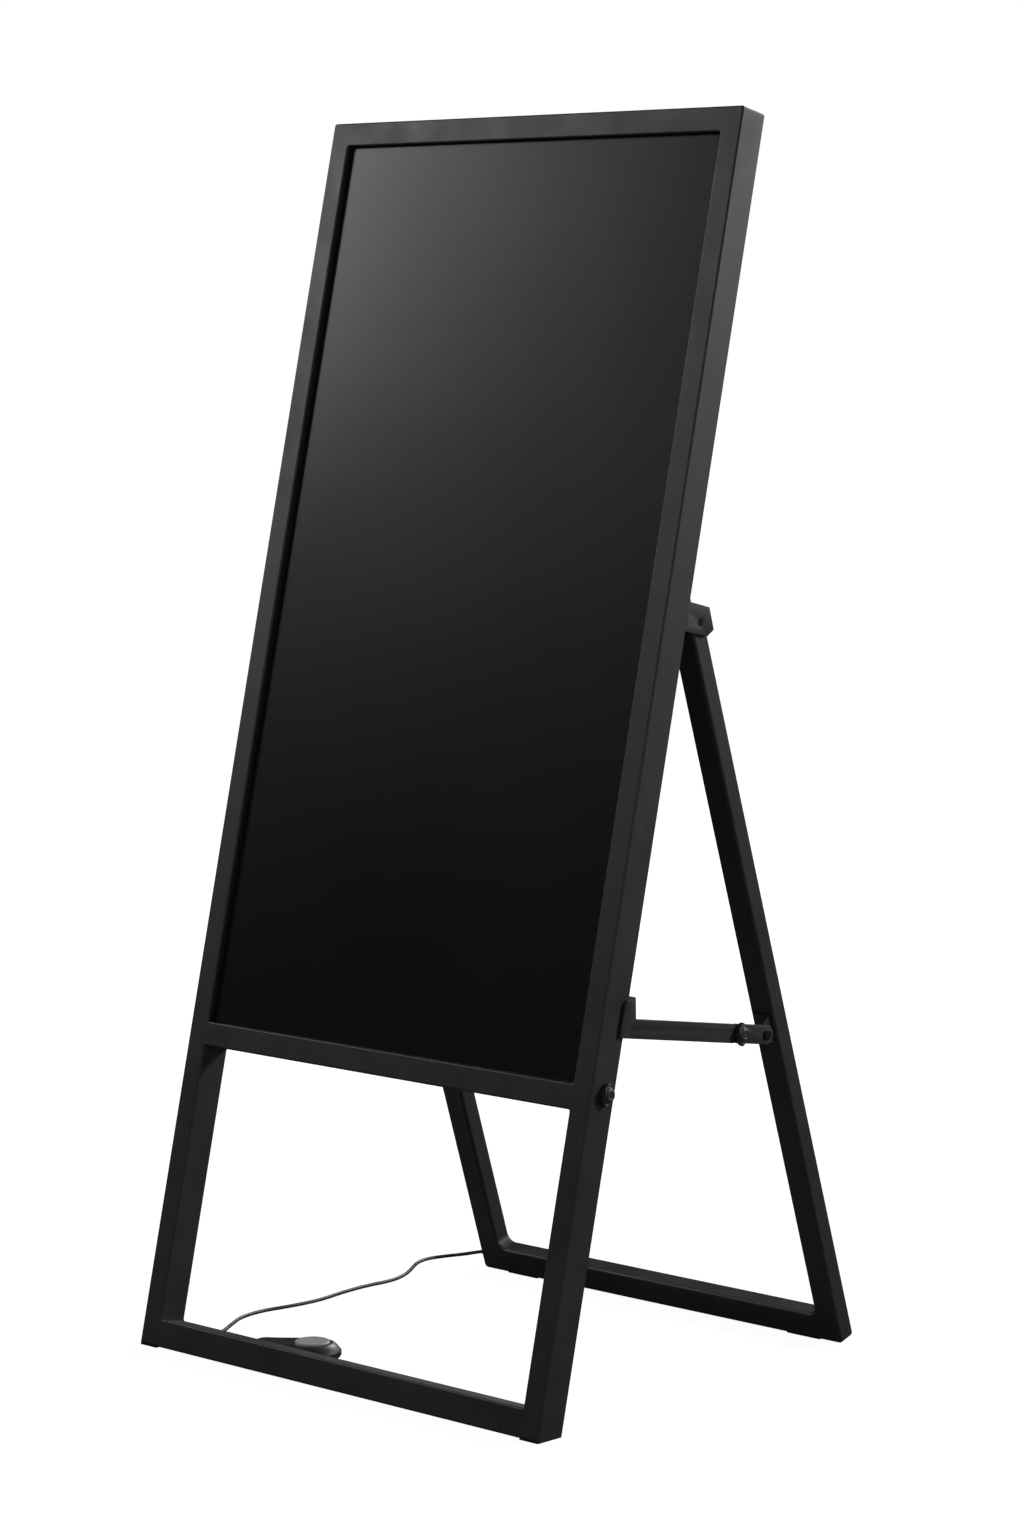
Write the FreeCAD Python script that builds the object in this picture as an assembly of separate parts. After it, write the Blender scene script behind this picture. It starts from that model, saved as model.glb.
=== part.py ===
import FreeCAD, Part
import math
import os
from FreeCAD import Placement, Rotation, Vector

# Folding digital sandwich board. A leaning front frame of rectangular tube holds a portrait
# screen, and a U-shaped rear leg frame is hinged behind it. A folding stay on each side holds
# the two apart, and a foot switch lies on the floor at the end of its lead.
#
# Units are millimetres. +X is the board's right as seen from the front, -Y is its front, +Z is up.
# The origin is on the floor, in the middle of the footprint.
# Board parts are drawn upright, with x across, y rearward and z up the slope, and then leaned.
# Leg parts are drawn the same way in the leg frame's own slope.

os.makedirs("parts", exist_ok=True)

# ---------------------------------------------------------------- driving dimensions
# Front frame
board_slope = 1340.0         # length of the front frame, measured up its slope
board_width = 582.0
front_lean = 13.0            # degrees back from upright
upright_face = 26.0
top_rail_face = 26.0
middle_rail_face = 26.0
bottom_rail_face = 30.0
frame_depth = 35.0
screen_bottom = 352.0        # top of the middle rail, up the slope
tube_wall = 1.5
tube_round = 2.0             # rounding along the front tubes' edges
opening_corner = 3.0

# Rear leg frame
rear_lean = 17.9             # degrees forward from upright
leg_face = 30.0
leg_depth = 22.0
foot_bar_face = 30.0
leg_round = 3.5
leg_outer_corner = 5.0
leg_inner_corner = 10.0
leg_side_gap = 1.0           # leg frame to the planes of the uprights' inner faces
glide_height = 1.0           # rubber under both frames

# Leg hinge, measured in the front frame
hinge_slope = 829.0
hinge_standoff = 47.0        # pivot behind the uprights' rear faces
hinge_pin_r = 4.0
bush_r = 6.0
leg_past_hinge = 8.0         # tube beyond the pivot, without its cap
cap_thickness = 2.5
cap_round = 2.0
hood_clearance = 0.62        # leg cap's corner to the hood's top as it swings
cheek_thickness = 3.0
cheek_gap = 0.4
hood_sheet = 2.5

# Stays
stay_slope = 413.0           # front pivot, up the front frame's slope
stay_standoff = 21.5         # front pivot behind the uprights' rear faces
stay_height = 20.0
stay_thickness = 4.0
stay_gap = 0.3               # between neighbouring stay plates
lug_standoff = 15.0          # rear pivot in front of the leg's front face
lug_height = 375.8           # rear pivot, up the leg's slope
short_arm = 50.0
arm_overrun = 12.0           # long arm beyond the clamp stud
lug_sheet = 3.0
rivet_r = 3.0
stud_r = 3.0
hook_clearance = 0.3
hook_angle = 65.3            # the hook's mouth, below the line back to the front pivot
running_gap = 0.05

# Screen
glass_recess = 6.0
glass_thickness = 4.0
glass_gap = 0.5
gasket_width = 12.0
gasket_thickness = 1.0
lcd_thickness = 2.0
backlight_thickness = 10.0
tab_thickness = 2.0
cover_sheet = 1.2
dome_side_margin = 50.0
dome_end_margin = 33.0       # from the opening's edges to the dome
dome_depth = 36.0

# Foot switch
switch_x, switch_y = -119.0, 91.0     # button centre, with y measured from the board's front edge
switch_heading = 19.0
switch_r = 31.0
switch_tail_r = 8.5
switch_length = 64.0         # button centre to tail centre
switch_pad = 1.5
switch_base = 2.5
switch_tall = 15.5
switch_low = 12.5
switch_wall = 2.0
button_r = 19.0
button_top = 18.5
button_travel = 3.0

# Lead
lead_r = 2.0
lead_exit_height = 14.0      # up the leg's slope

# ---------------------------------------------------------------- worked out from those
lean = math.radians(front_lean)
splay = math.radians(rear_lean)
half_board = board_width / 2
half_opening = half_board - upright_face
half_legs = half_opening - leg_side_gap
leg_inner = half_legs - leg_face
screen_top = board_slope - top_rail_face
hinge_back = frame_depth + hinge_standoff

hinge_y = hinge_slope * math.sin(lean) + hinge_back * math.cos(lean)
hinge_z = hinge_slope * math.cos(lean) - hinge_back * math.sin(lean)
leg_mid = leg_depth / 2
hinge_up_leg = (hinge_z - leg_mid * math.sin(splay)) / math.cos(splay)
stance = hinge_y + hinge_up_leg * math.sin(splay) - leg_mid * math.cos(splay)
footprint = (
    stance + (leg_depth - leg_round) * math.cos(splay) - leg_round * math.sin(splay) + leg_round
)
middle = footprint / 2
leg_top = hinge_up_leg + leg_past_hinge
cap_corner = cap_round + math.hypot(leg_mid - cap_round, leg_past_hinge + cap_thickness - cap_round)
dome_half_width = half_opening - dome_side_margin


def on_front(y, z):
    """A point given in the leaned front frame, as floor y and height."""
    return (
        y * math.cos(lean) + z * math.sin(lean) - middle,
        z * math.cos(lean) - y * math.sin(lean) + glide_height,
    )


def on_leg(y, z):
    """A point given in the leg frame, as floor y and height."""
    return (
        stance + y * math.cos(splay) - z * math.sin(splay) - middle,
        z * math.cos(splay) + y * math.sin(splay) + glide_height,
    )


stay_back = frame_depth + stay_standoff
front_pivot = on_front(stay_back, stay_slope)
rear_pivot = on_leg(-lug_standoff, lug_height)
stay_run = math.dist(front_pivot, rear_pivot)
stay_angle = math.atan2(rear_pivot[1] - front_pivot[1], rear_pivot[0] - front_pivot[0])
clamp_point = (
    rear_pivot[0] - short_arm * math.cos(stay_angle),
    rear_pivot[1] - short_arm * math.sin(stay_angle),
)

# Planes of the stay plates, from the outside inwards
long_arm_in = half_legs + cheek_gap
long_arm_out = long_arm_in + stay_thickness
front_lug_in = long_arm_out + cheek_gap
front_lug_out = front_lug_in + lug_sheet
short_arm_out = long_arm_in - stay_gap
short_arm_in = short_arm_out - stay_thickness
rear_lug_out = short_arm_in - stay_gap
rear_lug_in = rear_lug_out - lug_sheet


# ---------------------------------------------------------------- building blocks
def box(x0, x1, y0, y1, z0, z1):
    return Part.makeBox(x1 - x0, y1 - y0, z1 - z0, Vector(x0, y0, z0))


def rod(axis, start, end, radius, a, b):
    """A cylinder along x, y or z from start to end, centred at (a, b) on the other two axes."""
    base = {"x": Vector(start, a, b), "y": Vector(a, start, b), "z": Vector(a, b, start)}[axis]
    way = {"x": Vector(1, 0, 0), "y": Vector(0, 1, 0), "z": Vector(0, 0, 1)}[axis]
    return Part.makeCylinder(radius, end - start, base, way)


def outline(points, radius, lift):
    """A closed wire through flat points, each corner rounded. lift puts (a, b) into space."""
    count = len(points)
    corners = []
    for i, here in enumerate(points):
        before = points[i - 1]
        after = points[(i + 1) % count]
        into = Vector(here[0] - before[0], here[1] - before[1], 0).normalize()
        out = Vector(after[0] - here[0], after[1] - here[1], 0).normalize()
        turn = into.getAngle(out)
        cut = radius * math.tan(turn / 2)
        tip = Vector(here[0], here[1], 0)
        middle_way = (out - into).normalize()
        bulge = radius / math.cos(turn / 2) - radius
        corners.append((tip - into * cut, tip + middle_way * bulge, tip + out * cut))
    edges = []
    for i, (start, peak, end) in enumerate(corners):
        following = corners[(i + 1) % count][0]
        if radius > 0:
            arc = [lift(p.x, p.y) for p in (start, peak, end)]
            edges.append(Part.Arc(*arc).toShape())
        if (following - end).Length > 1e-6:
            edges.append(Part.LineSegment(lift(end.x, end.y), lift(following.x, following.y)).toShape())
    return Part.Wire(edges)


def plate(axis, points, radius, start, end):
    """A flat plate with rounded corners, its thickness along x, y or z."""
    lift = {
        "x": lambda a, b: Vector(start, a, b),
        "y": lambda a, b: Vector(a, start, b),
        "z": lambda a, b: Vector(a, b, start),
    }[axis]
    way = {"x": Vector(1, 0, 0), "y": Vector(0, 1, 0), "z": Vector(0, 0, 1)}[axis]
    return Part.Face(outline(points, radius, lift)).extrude(way * (end - start))


def rectangle(a0, a1, b0, b1):
    return [(a0, b0), (a1, b0), (a1, b1), (a0, b1)]


def round_edges(shape, radius, chosen):
    return shape.makeFillet(radius, [edge for edge in shape.Edges if chosen(edge)])


def flat_in_y(edge, levels):
    bounds = edge.BoundBox
    return any(abs(bounds.YMin - y) < 0.01 and abs(bounds.YMax - y) < 0.01 for y in levels)


def flat_in_z(edge, levels):
    bounds = edge.BoundBox
    return any(abs(bounds.ZMin - z) < 0.01 and abs(bounds.ZMax - z) < 0.01 for z in levels)


def leaned(shape):
    """Board part: leaned back and set on its glides."""
    return shape.transformed(
        Placement(Vector(0, -middle, glide_height), Rotation(Vector(1, 0, 0), -front_lean)).toMatrix()
    )


def splayed(shape):
    """Leg part: leaned forward and set on its glides."""
    place = Vector(0, stance - middle, glide_height)
    return shape.transformed(Placement(place, Rotation(Vector(1, 0, 0), rear_lean)).toMatrix())


def mirrored(shape):
    return shape.mirror(Vector(0, 0, 0), Vector(1, 0, 0))


def save(node, *solids):
    shape = solids[0] if len(solids) == 1 else Part.makeCompound(list(solids))
    shape.exportStep("parts/" + node + ".step")


def save_pair(node, shape):
    """One node for each side, drawn for the right and mirrored for the left."""
    save(node + "_right", shape)
    save(node + "_left", mirrored(shape))


# ---------------------------------------------------------------- front frame
reach = 2 * board_slope      # longer than anything, for cutting
below_floor_front = Part.Face(
    Part.makePolygon(
        [
            Vector(-reach, -reach, -reach * math.tan(lean)),
            Vector(-reach, reach, reach * math.tan(lean)),
            Vector(-reach, reach, -reach),
            Vector(-reach, -reach, -reach),
            Vector(-reach, -reach, -reach * math.tan(lean)),
        ]
    )
).extrude(Vector(2 * reach, 0, 0))


def welded_front():
    """The whole tube frame as one block: outside, two openings, level foot and soft edges."""
    outside = plate("y", rectangle(-half_board, half_board, -60, board_slope), opening_corner, 0, frame_depth)
    screen = rectangle(-half_opening, half_opening, screen_bottom, screen_top)
    lower = rectangle(-half_opening, half_opening, bottom_rail_face, screen_bottom - middle_rail_face)
    for hole in (screen, lower):
        outside = outside.cut(plate("y", hole, opening_corner, -1, frame_depth + 1))
    outside = outside.cut(below_floor_front)
    return round_edges(outside, tube_round, lambda edge: flat_in_y(edge, (0, frame_depth)))


frame_block = welded_front()
in_back = frame_depth - tube_wall
knob_slope = screen_bottom - 6.0    # high in the middle rail's end
knob_back = 20.0
hood_screw_x = half_board - 12.0
hood_screws = (hinge_slope - 6.5, hinge_slope + 9.0)
saddle_low, saddle_high = stay_slope - 9.0, stay_slope + 28.0
saddle_screws = (saddle_low + 8.0, saddle_high - 8.0)
screw_r = 2.5


def upright():
    """Right upright: one closed tube, open only at its foot."""
    shape = frame_block.common(box(half_opening, half_board + 1, -1, frame_depth + 1, -60, board_slope + 1))
    hollow = box(half_opening + tube_wall, half_board - tube_wall, tube_wall, in_back, -60, board_slope - tube_wall)
    shape = shape.cut(hollow)
    shape = shape.cut(rod("x", half_opening - 1, half_board + 1, stud_r + 0.4, knob_back, knob_slope))
    for z in hood_screws + saddle_screws:
        shape = shape.cut(rod("y", in_back - 1, frame_depth + 1, screw_r, hood_screw_x, z))
    return shape


def rail(low, high):
    """A rail between the uprights, open at both ends against them."""
    shape = frame_block.common(box(-half_opening, half_opening, -1, frame_depth + 1, low, high))
    hollow = box(-half_opening, half_opening, tube_wall, in_back, low + tube_wall, high - tube_wall)
    return shape.cut(hollow)


def bottom_rail():
    shape = frame_block.common(box(-half_opening, half_opening, -1, frame_depth + 1, -1, bottom_rail_face))
    sole = tube_wall / math.cos(lean)
    hollow = [
        (tube_wall, tube_wall * math.tan(lean) + sole),
        (in_back, in_back * math.tan(lean) + sole),
        (in_back, bottom_rail_face - tube_wall),
        (tube_wall, bottom_rail_face - tube_wall),
    ]
    return shape.cut(plate("x", hollow, 0, -half_opening, half_opening))


save_pair("upright", leaned(upright()))
save("top_rail", leaned(rail(screen_top, board_slope)))
save("middle_rail", leaned(rail(screen_bottom - middle_rail_face, screen_bottom)))
save("bottom_rail", leaned(bottom_rail()))


def foot_plug():
    """Moulded plug in an upright's foot, with a flat flange that is also its glide."""
    gap = tube_wall + 0.1
    stem = box(half_opening + gap, half_board - gap, gap, frame_depth - gap, -60, 24)
    stem = leaned(stem.cut(below_floor_front))
    sole = rectangle(half_opening, half_board, -middle, frame_depth / math.cos(lean) - middle)
    return plate("z", sole, tube_round, 0, glide_height).fuse(stem)


foot_plug_right = foot_plug()
save("upright_foot_plugs", foot_plug_right, mirrored(foot_plug_right))


def rail_insert():
    """Threaded block pushed into the end of the middle rail, for the side knob's stud."""
    gap = tube_wall
    low = screen_bottom - middle_rail_face + gap
    block = box(half_opening - 14, half_opening, gap, frame_depth - gap, low, screen_bottom - gap)
    return block.cut(rod("x", half_opening - 15, half_opening + 1, stud_r + running_gap, knob_back, knob_slope))


insert_right = leaned(rail_insert())
save("rail_inserts", insert_right, mirrored(insert_right))


# ---------------------------------------------------------------- screen
def screen_sheet(y0, y1, margin):
    return box(
        margin - half_opening,
        half_opening - margin,
        y0,
        y1,
        screen_bottom + margin,
        screen_top - margin,
    )


glass_back = glass_recess + glass_thickness
gasket_back = glass_back + gasket_thickness
lcd_back = gasket_back + lcd_thickness
backlight_back = lcd_back + backlight_thickness
tab_back = backlight_back + tab_thickness
dome_back = tab_back + dome_depth

save("cover_glass", leaned(screen_sheet(glass_recess, glass_back, glass_gap)))
gasket = screen_sheet(glass_back, gasket_back, 1.5)
gasket = gasket.cut(screen_sheet(glass_back - 1, gasket_back + 1, 1.5 + gasket_width))
save("glass_gasket", leaned(gasket))
save("lcd_panel", leaned(screen_sheet(gasket_back, lcd_back, 2)))


def backlight():
    """Backlight unit: light guide and diffusers in a shallow tray with ribs on its back."""
    tray = screen_sheet(lcd_back, backlight_back - 1.5, 2)
    for x in (15 - half_opening, -180, 0, 180, half_opening - 15):
        tray = tray.fuse(box(x - 12, x + 12, lcd_back, backlight_back, screen_bottom + 20, screen_top - 20))
    for z in (screen_bottom + 6, screen_top - 18):
        tray = tray.fuse(box(10 - half_opening, half_opening - 10, lcd_back, backlight_back, z, z + 12))
    return tray


save("backlight_tray", leaned(backlight()))

tab_width, tab_length, tab_count = 20.0, 30.0, 4
tab_pitch = (screen_top - screen_bottom - 120) / (tab_count - 1)
tab_centres = [screen_bottom + 60 + i * tab_pitch for i in range(tab_count)]
cover_screw_x = half_opening - 9


def screen_tabs():
    """Welded tabs on the uprights' inner faces that hold the screen in and carry the cover."""
    tabs = []
    for z in tab_centres:
        tab = box(half_opening - tab_width, half_opening, backlight_back, tab_back, z - tab_length / 2, z + tab_length / 2)
        tab = leaned(tab.cut(rod("y", 0, frame_depth, 1.5, cover_screw_x, z)))
        tabs += [tab, mirrored(tab)]
    return tabs


save("screen_tabs", *screen_tabs())

inlet_x, rocker_x = dome_half_width - 65, dome_half_width - 123
service_back = tab_back + dome_depth / 2 + 1      # centre line of the sockets in the dome's lower wall
dome_low = screen_bottom + dome_end_margin
dome_high = screen_top - dome_end_margin


def rear_cover():
    """Pressed steel cover: a flange on the tabs and a raised dome with cooling slots."""
    flange = screen_sheet(tab_back, tab_back + cover_sheet, 1)
    dome = box(-dome_half_width, dome_half_width, tab_back, dome_back, dome_low, dome_high)
    dome = round_edges(dome, 8, lambda edge: not flat_in_y(edge, (tab_back,)))
    inside = box(
        cover_sheet - dome_half_width,
        dome_half_width - cover_sheet,
        tab_back - 1,
        dome_back - cover_sheet,
        dome_low + cover_sheet,
        dome_high - cover_sheet,
    )
    inside = round_edges(inside, 8 - cover_sheet, lambda edge: not flat_in_y(edge, (tab_back - 1,)))
    cover = flange.fuse(dome).cut(inside)
    slots = []
    for row in range(9):
        for column in (-2, -1, 0, 1, 2):
            for start in (dome_low + 45, dome_high - 45 - 8 * 12):
                x, z = column * 72, start + row * 12
                slots.append(
                    plate("y", rectangle(x - 26, x + 26, z - 2, z + 2), 1.9, dome_back - 4, dome_back + 1)
                )
    slots.append(box(inlet_x - 14.2, inlet_x + 14.2, service_back - 10.2, service_back + 10.2, dome_low - 1, dome_low + 5))
    slots.append(box(rocker_x - 9.7, rocker_x + 9.7, service_back - 6.2, service_back + 6.2, dome_low - 1, dome_low + 5))
    for z in tab_centres:
        for side in (-1, 1):
            slots.append(rod("y", tab_back - 1, tab_back + 3, 1.7, side * cover_screw_x, z))
    return cover.cut(Part.makeCompound(slots))


save("rear_cover", leaned(rear_cover()))


def cover_screw(z):
    shank = rod("y", backlight_back + 0.2, tab_back + cover_sheet, 1.5, cover_screw_x, z)
    head = rod("y", tab_back + cover_sheet, tab_back + cover_sheet + 2, 3.2, cover_screw_x, z)
    head = round_edges(head, 0.8, lambda edge: flat_in_y(edge, (tab_back + cover_sheet + 2,)))
    return leaned(shank.fuse(head))


cover_screws = [cover_screw(z) for z in tab_centres]
save("rear_cover_screws", *cover_screws, *[mirrored(screw) for screw in cover_screws])

# Electronics on the back of the backlight tray, inside the dome
tray_face = backlight_back - 1.5


def sheet_case(x0, x1, depth, z0, z1):
    """Sheet metal case of an electronic unit, screwed flat on the tray."""
    wall = 1.0
    back = tray_face + depth
    inside = box(x0 + wall, x1 - wall, tray_face + wall, back - wall, z0 + wall, z1 - wall)
    return leaned(box(x0, x1, tray_face, back, z0, z1).cut(inside))


save("power_supply", sheet_case(30, 150, 32, 560, 760))
save("media_player", sheet_case(-160, -24, 28, 590, 720))


def driver_board():
    """Panel driver board on four pillars, with its largest parts."""
    board = box(-80, 80, backlight_back + 6, backlight_back + 7.6, 860, 960)
    for x in (-72, 72):
        for z in (868, 952):
            board = board.fuse(rod("y", tray_face, backlight_back + 6, 3, x, z))
    for x, z, size in ((-40, 905, 26), (20, 915, 18), (52, 890, 12)):
        board = board.fuse(box(x, x + size, backlight_back + 7.6, backlight_back + 11, z, z + size))
    return board


save("driver_board", leaned(driver_board()))


def speaker(x):
    """Flat speaker in a moulded box, its cone facing the lower cooling slots."""
    case = plate("z", rectangle(x - 45, x + 45, backlight_back + 4, backlight_back + 26), 4, 500, 545)
    case = case.fuse(box(x - 8, x + 8, tray_face, backlight_back + 4, 512, 533))
    return leaned(case.cut(rod("y", backlight_back + 20, backlight_back + 27, 17, x, 522.5)).fuse(
        rod("y", backlight_back + 18, backlight_back + 23, 9, x, 522.5)))


save("speakers", speaker(-150), speaker(-20))

# ---------------------------------------------------------------- mains inlet and power switch
inlet_half, inlet_tall = 13.8, 9.8
cavity_half, cavity_tall = 12.3, 8.3
inlet_mouth = dome_low - 2.5
cavity_end = inlet_mouth + 19.0
pin_start = inlet_mouth + 8.0


def mains_inlet():
    """Three-pin appliance inlet, its mouth facing down the slope."""
    flange = plate(
        "z",
        rectangle(inlet_x - 24, inlet_x + 24, service_back - 12, service_back + 12),
        3,
        inlet_mouth,
        dome_low,
    )
    body = box(
        inlet_x - inlet_half,
        inlet_x + inlet_half,
        service_back - inlet_tall,
        service_back + inlet_tall,
        inlet_mouth,
        cavity_end + 2,
    )
    cavity = [
        (inlet_x - cavity_half, service_back - cavity_tall),
        (inlet_x + cavity_half, service_back - cavity_tall),
        (inlet_x + cavity_half, service_back + cavity_tall - 5),
        (inlet_x + cavity_half - 5, service_back + cavity_tall),
        (inlet_x - cavity_half + 5, service_back + cavity_tall),
        (inlet_x - cavity_half, service_back + cavity_tall - 5),
    ]
    return flange.fuse(body).cut(plate("z", cavity, 1, inlet_mouth - 1, cavity_end))


save("mains_inlet", leaned(mains_inlet()))
inlet_pins = [
    leaned(box(inlet_x + dx - 1, inlet_x + dx + 1, service_back + dy - 2, service_back + dy + 2, pin_start, cavity_end))
    for dx, dy in ((-7, -2), (0, 2.5), (7, -2))
]
save("inlet_pins", *inlet_pins)

rocker_half, rocker_tall = 7.5, 5.0
rocker_axis_z = dome_low + 3.0
rocker_tilt = 9.0


def rocker_bezel():
    frame = plate(
        "z",
        rectangle(rocker_x - 12, rocker_x + 12, service_back - 8.5, service_back + 8.5),
        1.5,
        dome_low - 2,
        dome_low,
    )
    body = box(rocker_x - 9.5, rocker_x + 9.5, service_back - 6, service_back + 6, dome_low - 2, dome_low + 16)
    well = box(rocker_x - 8.7, rocker_x + 8.7, service_back - 5.3, service_back + 5.3, dome_low - 3, dome_low + 11)
    return frame.fuse(body).cut(well)


def rocker():
    """Rocker with two facets, drawn level and then tipped to off."""
    facets = [
        (rocker_x - rocker_half, dome_low + 6.5),
        (rocker_x - rocker_half, dome_low - 2.6),
        (rocker_x, dome_low - 1.2),
        (rocker_x + rocker_half, dome_low - 2.6),
        (rocker_x + rocker_half, dome_low + 6.5),
    ]
    shape = plate("y", facets, 0.4, service_back - rocker_tall, service_back + rocker_tall)
    tip = Part.Shape(shape)
    tip.rotate(Vector(rocker_x, service_back, rocker_axis_z), Vector(0, 1, 0), rocker_tilt)
    return tip


save("rocker_bezel", leaned(rocker_bezel()))
save("power_rocker", leaned(rocker()))


# ---------------------------------------------------------------- leg hinges
hood_low, hood_high = hinge_slope - 13.5, hinge_slope + cap_corner + hood_clearance + hood_sheet
cheek_out = half_legs + cheek_gap
cheek_in = leg_inner - cheek_gap
hood_web = frame_depth + hood_sheet


def hinge_hood():
    """Pressed hood on the upright's rear face: web, two cheeks and a top."""
    side = [
        (frame_depth, hood_low),
        (hinge_back + 14, hood_low + 1.5),
        (hinge_back + 22.5, hood_low + 10),
        (hinge_back + 10.5, hood_high),
        (frame_depth, hood_high),
    ]
    outer = plate("x", side, 1.5, cheek_out, cheek_out + cheek_thickness)
    inner = plate("x", side, 1.5, cheek_in - cheek_thickness, cheek_in)
    web = box(cheek_in - cheek_thickness, half_board - 2, frame_depth, hood_web, hood_low + 1, hood_high - 1)
    top = box(
        cheek_in - cheek_thickness,
        cheek_out + cheek_thickness,
        frame_depth + 1,
        hinge_back + 9,
        hood_high - hood_sheet,
        hood_high,
    )
    hood = web.fuse([outer, inner, top])
    hood = hood.cut(rod("x", cheek_in - 5, cheek_out + 5, hinge_pin_r, hinge_back, hinge_slope))
    for z in hood_screws:
        hood = hood.cut(rod("y", frame_depth - 1, hood_web + 1, screw_r + 0.2, hood_screw_x, z))
    return hood


save_pair("hinge_hood", leaned(hinge_hood()))


def hinge_pin():
    """Pin pressed through both cheeks, flush outside and headed inside."""
    shank = rod("x", cheek_in - cheek_thickness, cheek_out + cheek_thickness, hinge_pin_r, hinge_back, hinge_slope)
    head = rod("x", cheek_in - cheek_thickness - 3, cheek_in - cheek_thickness, hinge_pin_r + 2.5, hinge_back, hinge_slope)
    return shank.fuse(head)


pin_right = leaned(hinge_pin())
save("hinge_pins", pin_right, mirrored(pin_right))


def button_screw(x, face, z):
    """Button-head screw through a plate into the upright's rear wall."""
    shank = rod("y", in_back - 2, face, screw_r, x, z)
    head = rod("y", face, face + 2.6, 4.6, x, z)
    head = round_edges(head, 1.4, lambda edge: flat_in_y(edge, (face + 2.6,)))
    socket = rod("y", face + 1.2, face + 3, 1.5, x, z)
    return leaned(shank.fuse(head).cut(socket))


bracket_screws = [button_screw(hood_screw_x, hood_web, z) for z in hood_screws]
saddle_web = frame_depth + lug_sheet
bracket_screws += [button_screw(hood_screw_x, saddle_web, z) for z in saddle_screws]
save("bracket_screws", *bracket_screws, *[mirrored(screw) for screw in bracket_screws])


# ---------------------------------------------------------------- rear leg frame
def leg_block():
    """The U of legs and foot bar as one hollow block, with its soft edges."""
    outside = plate("y", rectangle(-half_legs, half_legs, 0, leg_top + 50), leg_outer_corner, 0, leg_depth)
    gap = rectangle(-leg_inner, leg_inner, foot_bar_face, leg_top + 90)
    outside = outside.cut(plate("y", gap, leg_inner_corner, -1, leg_depth + 1))
    outside = outside.cut(box(-half_legs - 1, half_legs + 1, -1, leg_depth + 1, leg_top, leg_top + 99))
    outside = round_edges(
        outside,
        leg_round,
        lambda edge: flat_in_y(edge, (0, leg_depth)) and not flat_in_z(edge, (leg_top,)),
    )
    deep = leg_depth - tube_wall
    hollow = box(tube_wall - half_legs, half_legs - tube_wall, tube_wall, deep, tube_wall, leg_top + 1)
    core = box(
        -leg_inner - tube_wall, leg_inner + tube_wall, 0, leg_depth, foot_bar_face - tube_wall, leg_top + 2
    )
    return outside.cut(hollow.cut(core))


leg_frame_block = leg_block()
mitre_over = 15.0
mitre_region = [
    (-half_legs - mitre_over, -mitre_over),
    (half_legs + mitre_over, -mitre_over),
    (leg_inner - mitre_over, foot_bar_face + mitre_over),
    (mitre_over - leg_inner, foot_bar_face + mitre_over),
]
mitre = plate("y", mitre_region, 0, -1, leg_depth + 1)


def leg(side):
    right = box(0, half_legs + 1, -1, leg_depth + 1, -1, leg_top + 1)
    shape = leg_frame_block.common(right if side > 0 else mirrored(right)).cut(mitre)
    x0, x1 = sorted((side * (leg_inner - 1), side * (half_legs + 1)))
    shape = shape.cut(rod("x", x0, x1, bush_r, leg_mid, hinge_up_leg))
    if side < 0:
        x0 = -half_legs - 1
        shape = shape.cut(rod("x", x0, x0 + tube_wall + 2, 5, leg_mid, lead_exit_height))
    return splayed(shape)


save("leg_right", leg(1))
save("leg_left", leg(-1))
save("foot_bar", splayed(leg_frame_block.common(mitre)))


def pivot_bush():
    sleeve = rod("x", leg_inner, half_legs, bush_r, leg_mid, hinge_up_leg)
    bore = rod("x", leg_inner - 1, half_legs + 1, hinge_pin_r + running_gap, leg_mid, hinge_up_leg)
    return splayed(sleeve.cut(bore))


def leg_cap():
    """Moulded cap over a leg's upper end."""
    top = box(leg_inner, half_legs, 0, leg_depth, leg_top, leg_top + cap_thickness)
    top = top.makeFillet(cap_round, [e for e in top.Edges if not flat_in_z(e, (leg_top,)) and e.BoundBox.ZLength < 3])
    gap = tube_wall + 0.1
    stem = box(leg_inner + gap, half_legs - gap, gap, leg_depth - gap, leg_top - 1.6, leg_top)
    return splayed(top.fuse(stem))


bush_right, cap_right = pivot_bush(), leg_cap()
save("hinge_bushes", bush_right, mirrored(bush_right))
save("leg_caps", cap_right, mirrored(cap_right))


def rear_glide():
    """Rubber wedge under the foot bar, level with the floor."""
    wedge = splayed(box(185, 230, leg_round, leg_depth - leg_round, -20, 0))
    return wedge.cut(box(0, 400, -600, 600, -60, 0))


glide_right = rear_glide()
save("rear_glides", glide_right, mirrored(glide_right))


def lead_grommet():
    """Rubber grommet in the left leg's outer wall, with a short nose."""
    wall_out = -half_legs
    wall_in = wall_out + tube_wall
    y, z = leg_mid, lead_exit_height
    body = rod("x", wall_out - 1.5, wall_out, 7.5, y, z)
    body = body.fuse(rod("x", wall_out, wall_in, 5, y, z))
    body = body.fuse(rod("x", wall_in, wall_in + 1.5, 6.5, y, z))
    nose = Part.makeCone(4.6, 3.2, 6.5, Vector(wall_out - 1.5, y, z), Vector(-1, 0, 0))
    return splayed(body.fuse(nose).cut(rod("x", wall_out - 20, wall_in + 5, lead_r, y, z)))


lead_start_x = -half_legs - 8.5
save("lead_grommet", lead_grommet())


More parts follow.
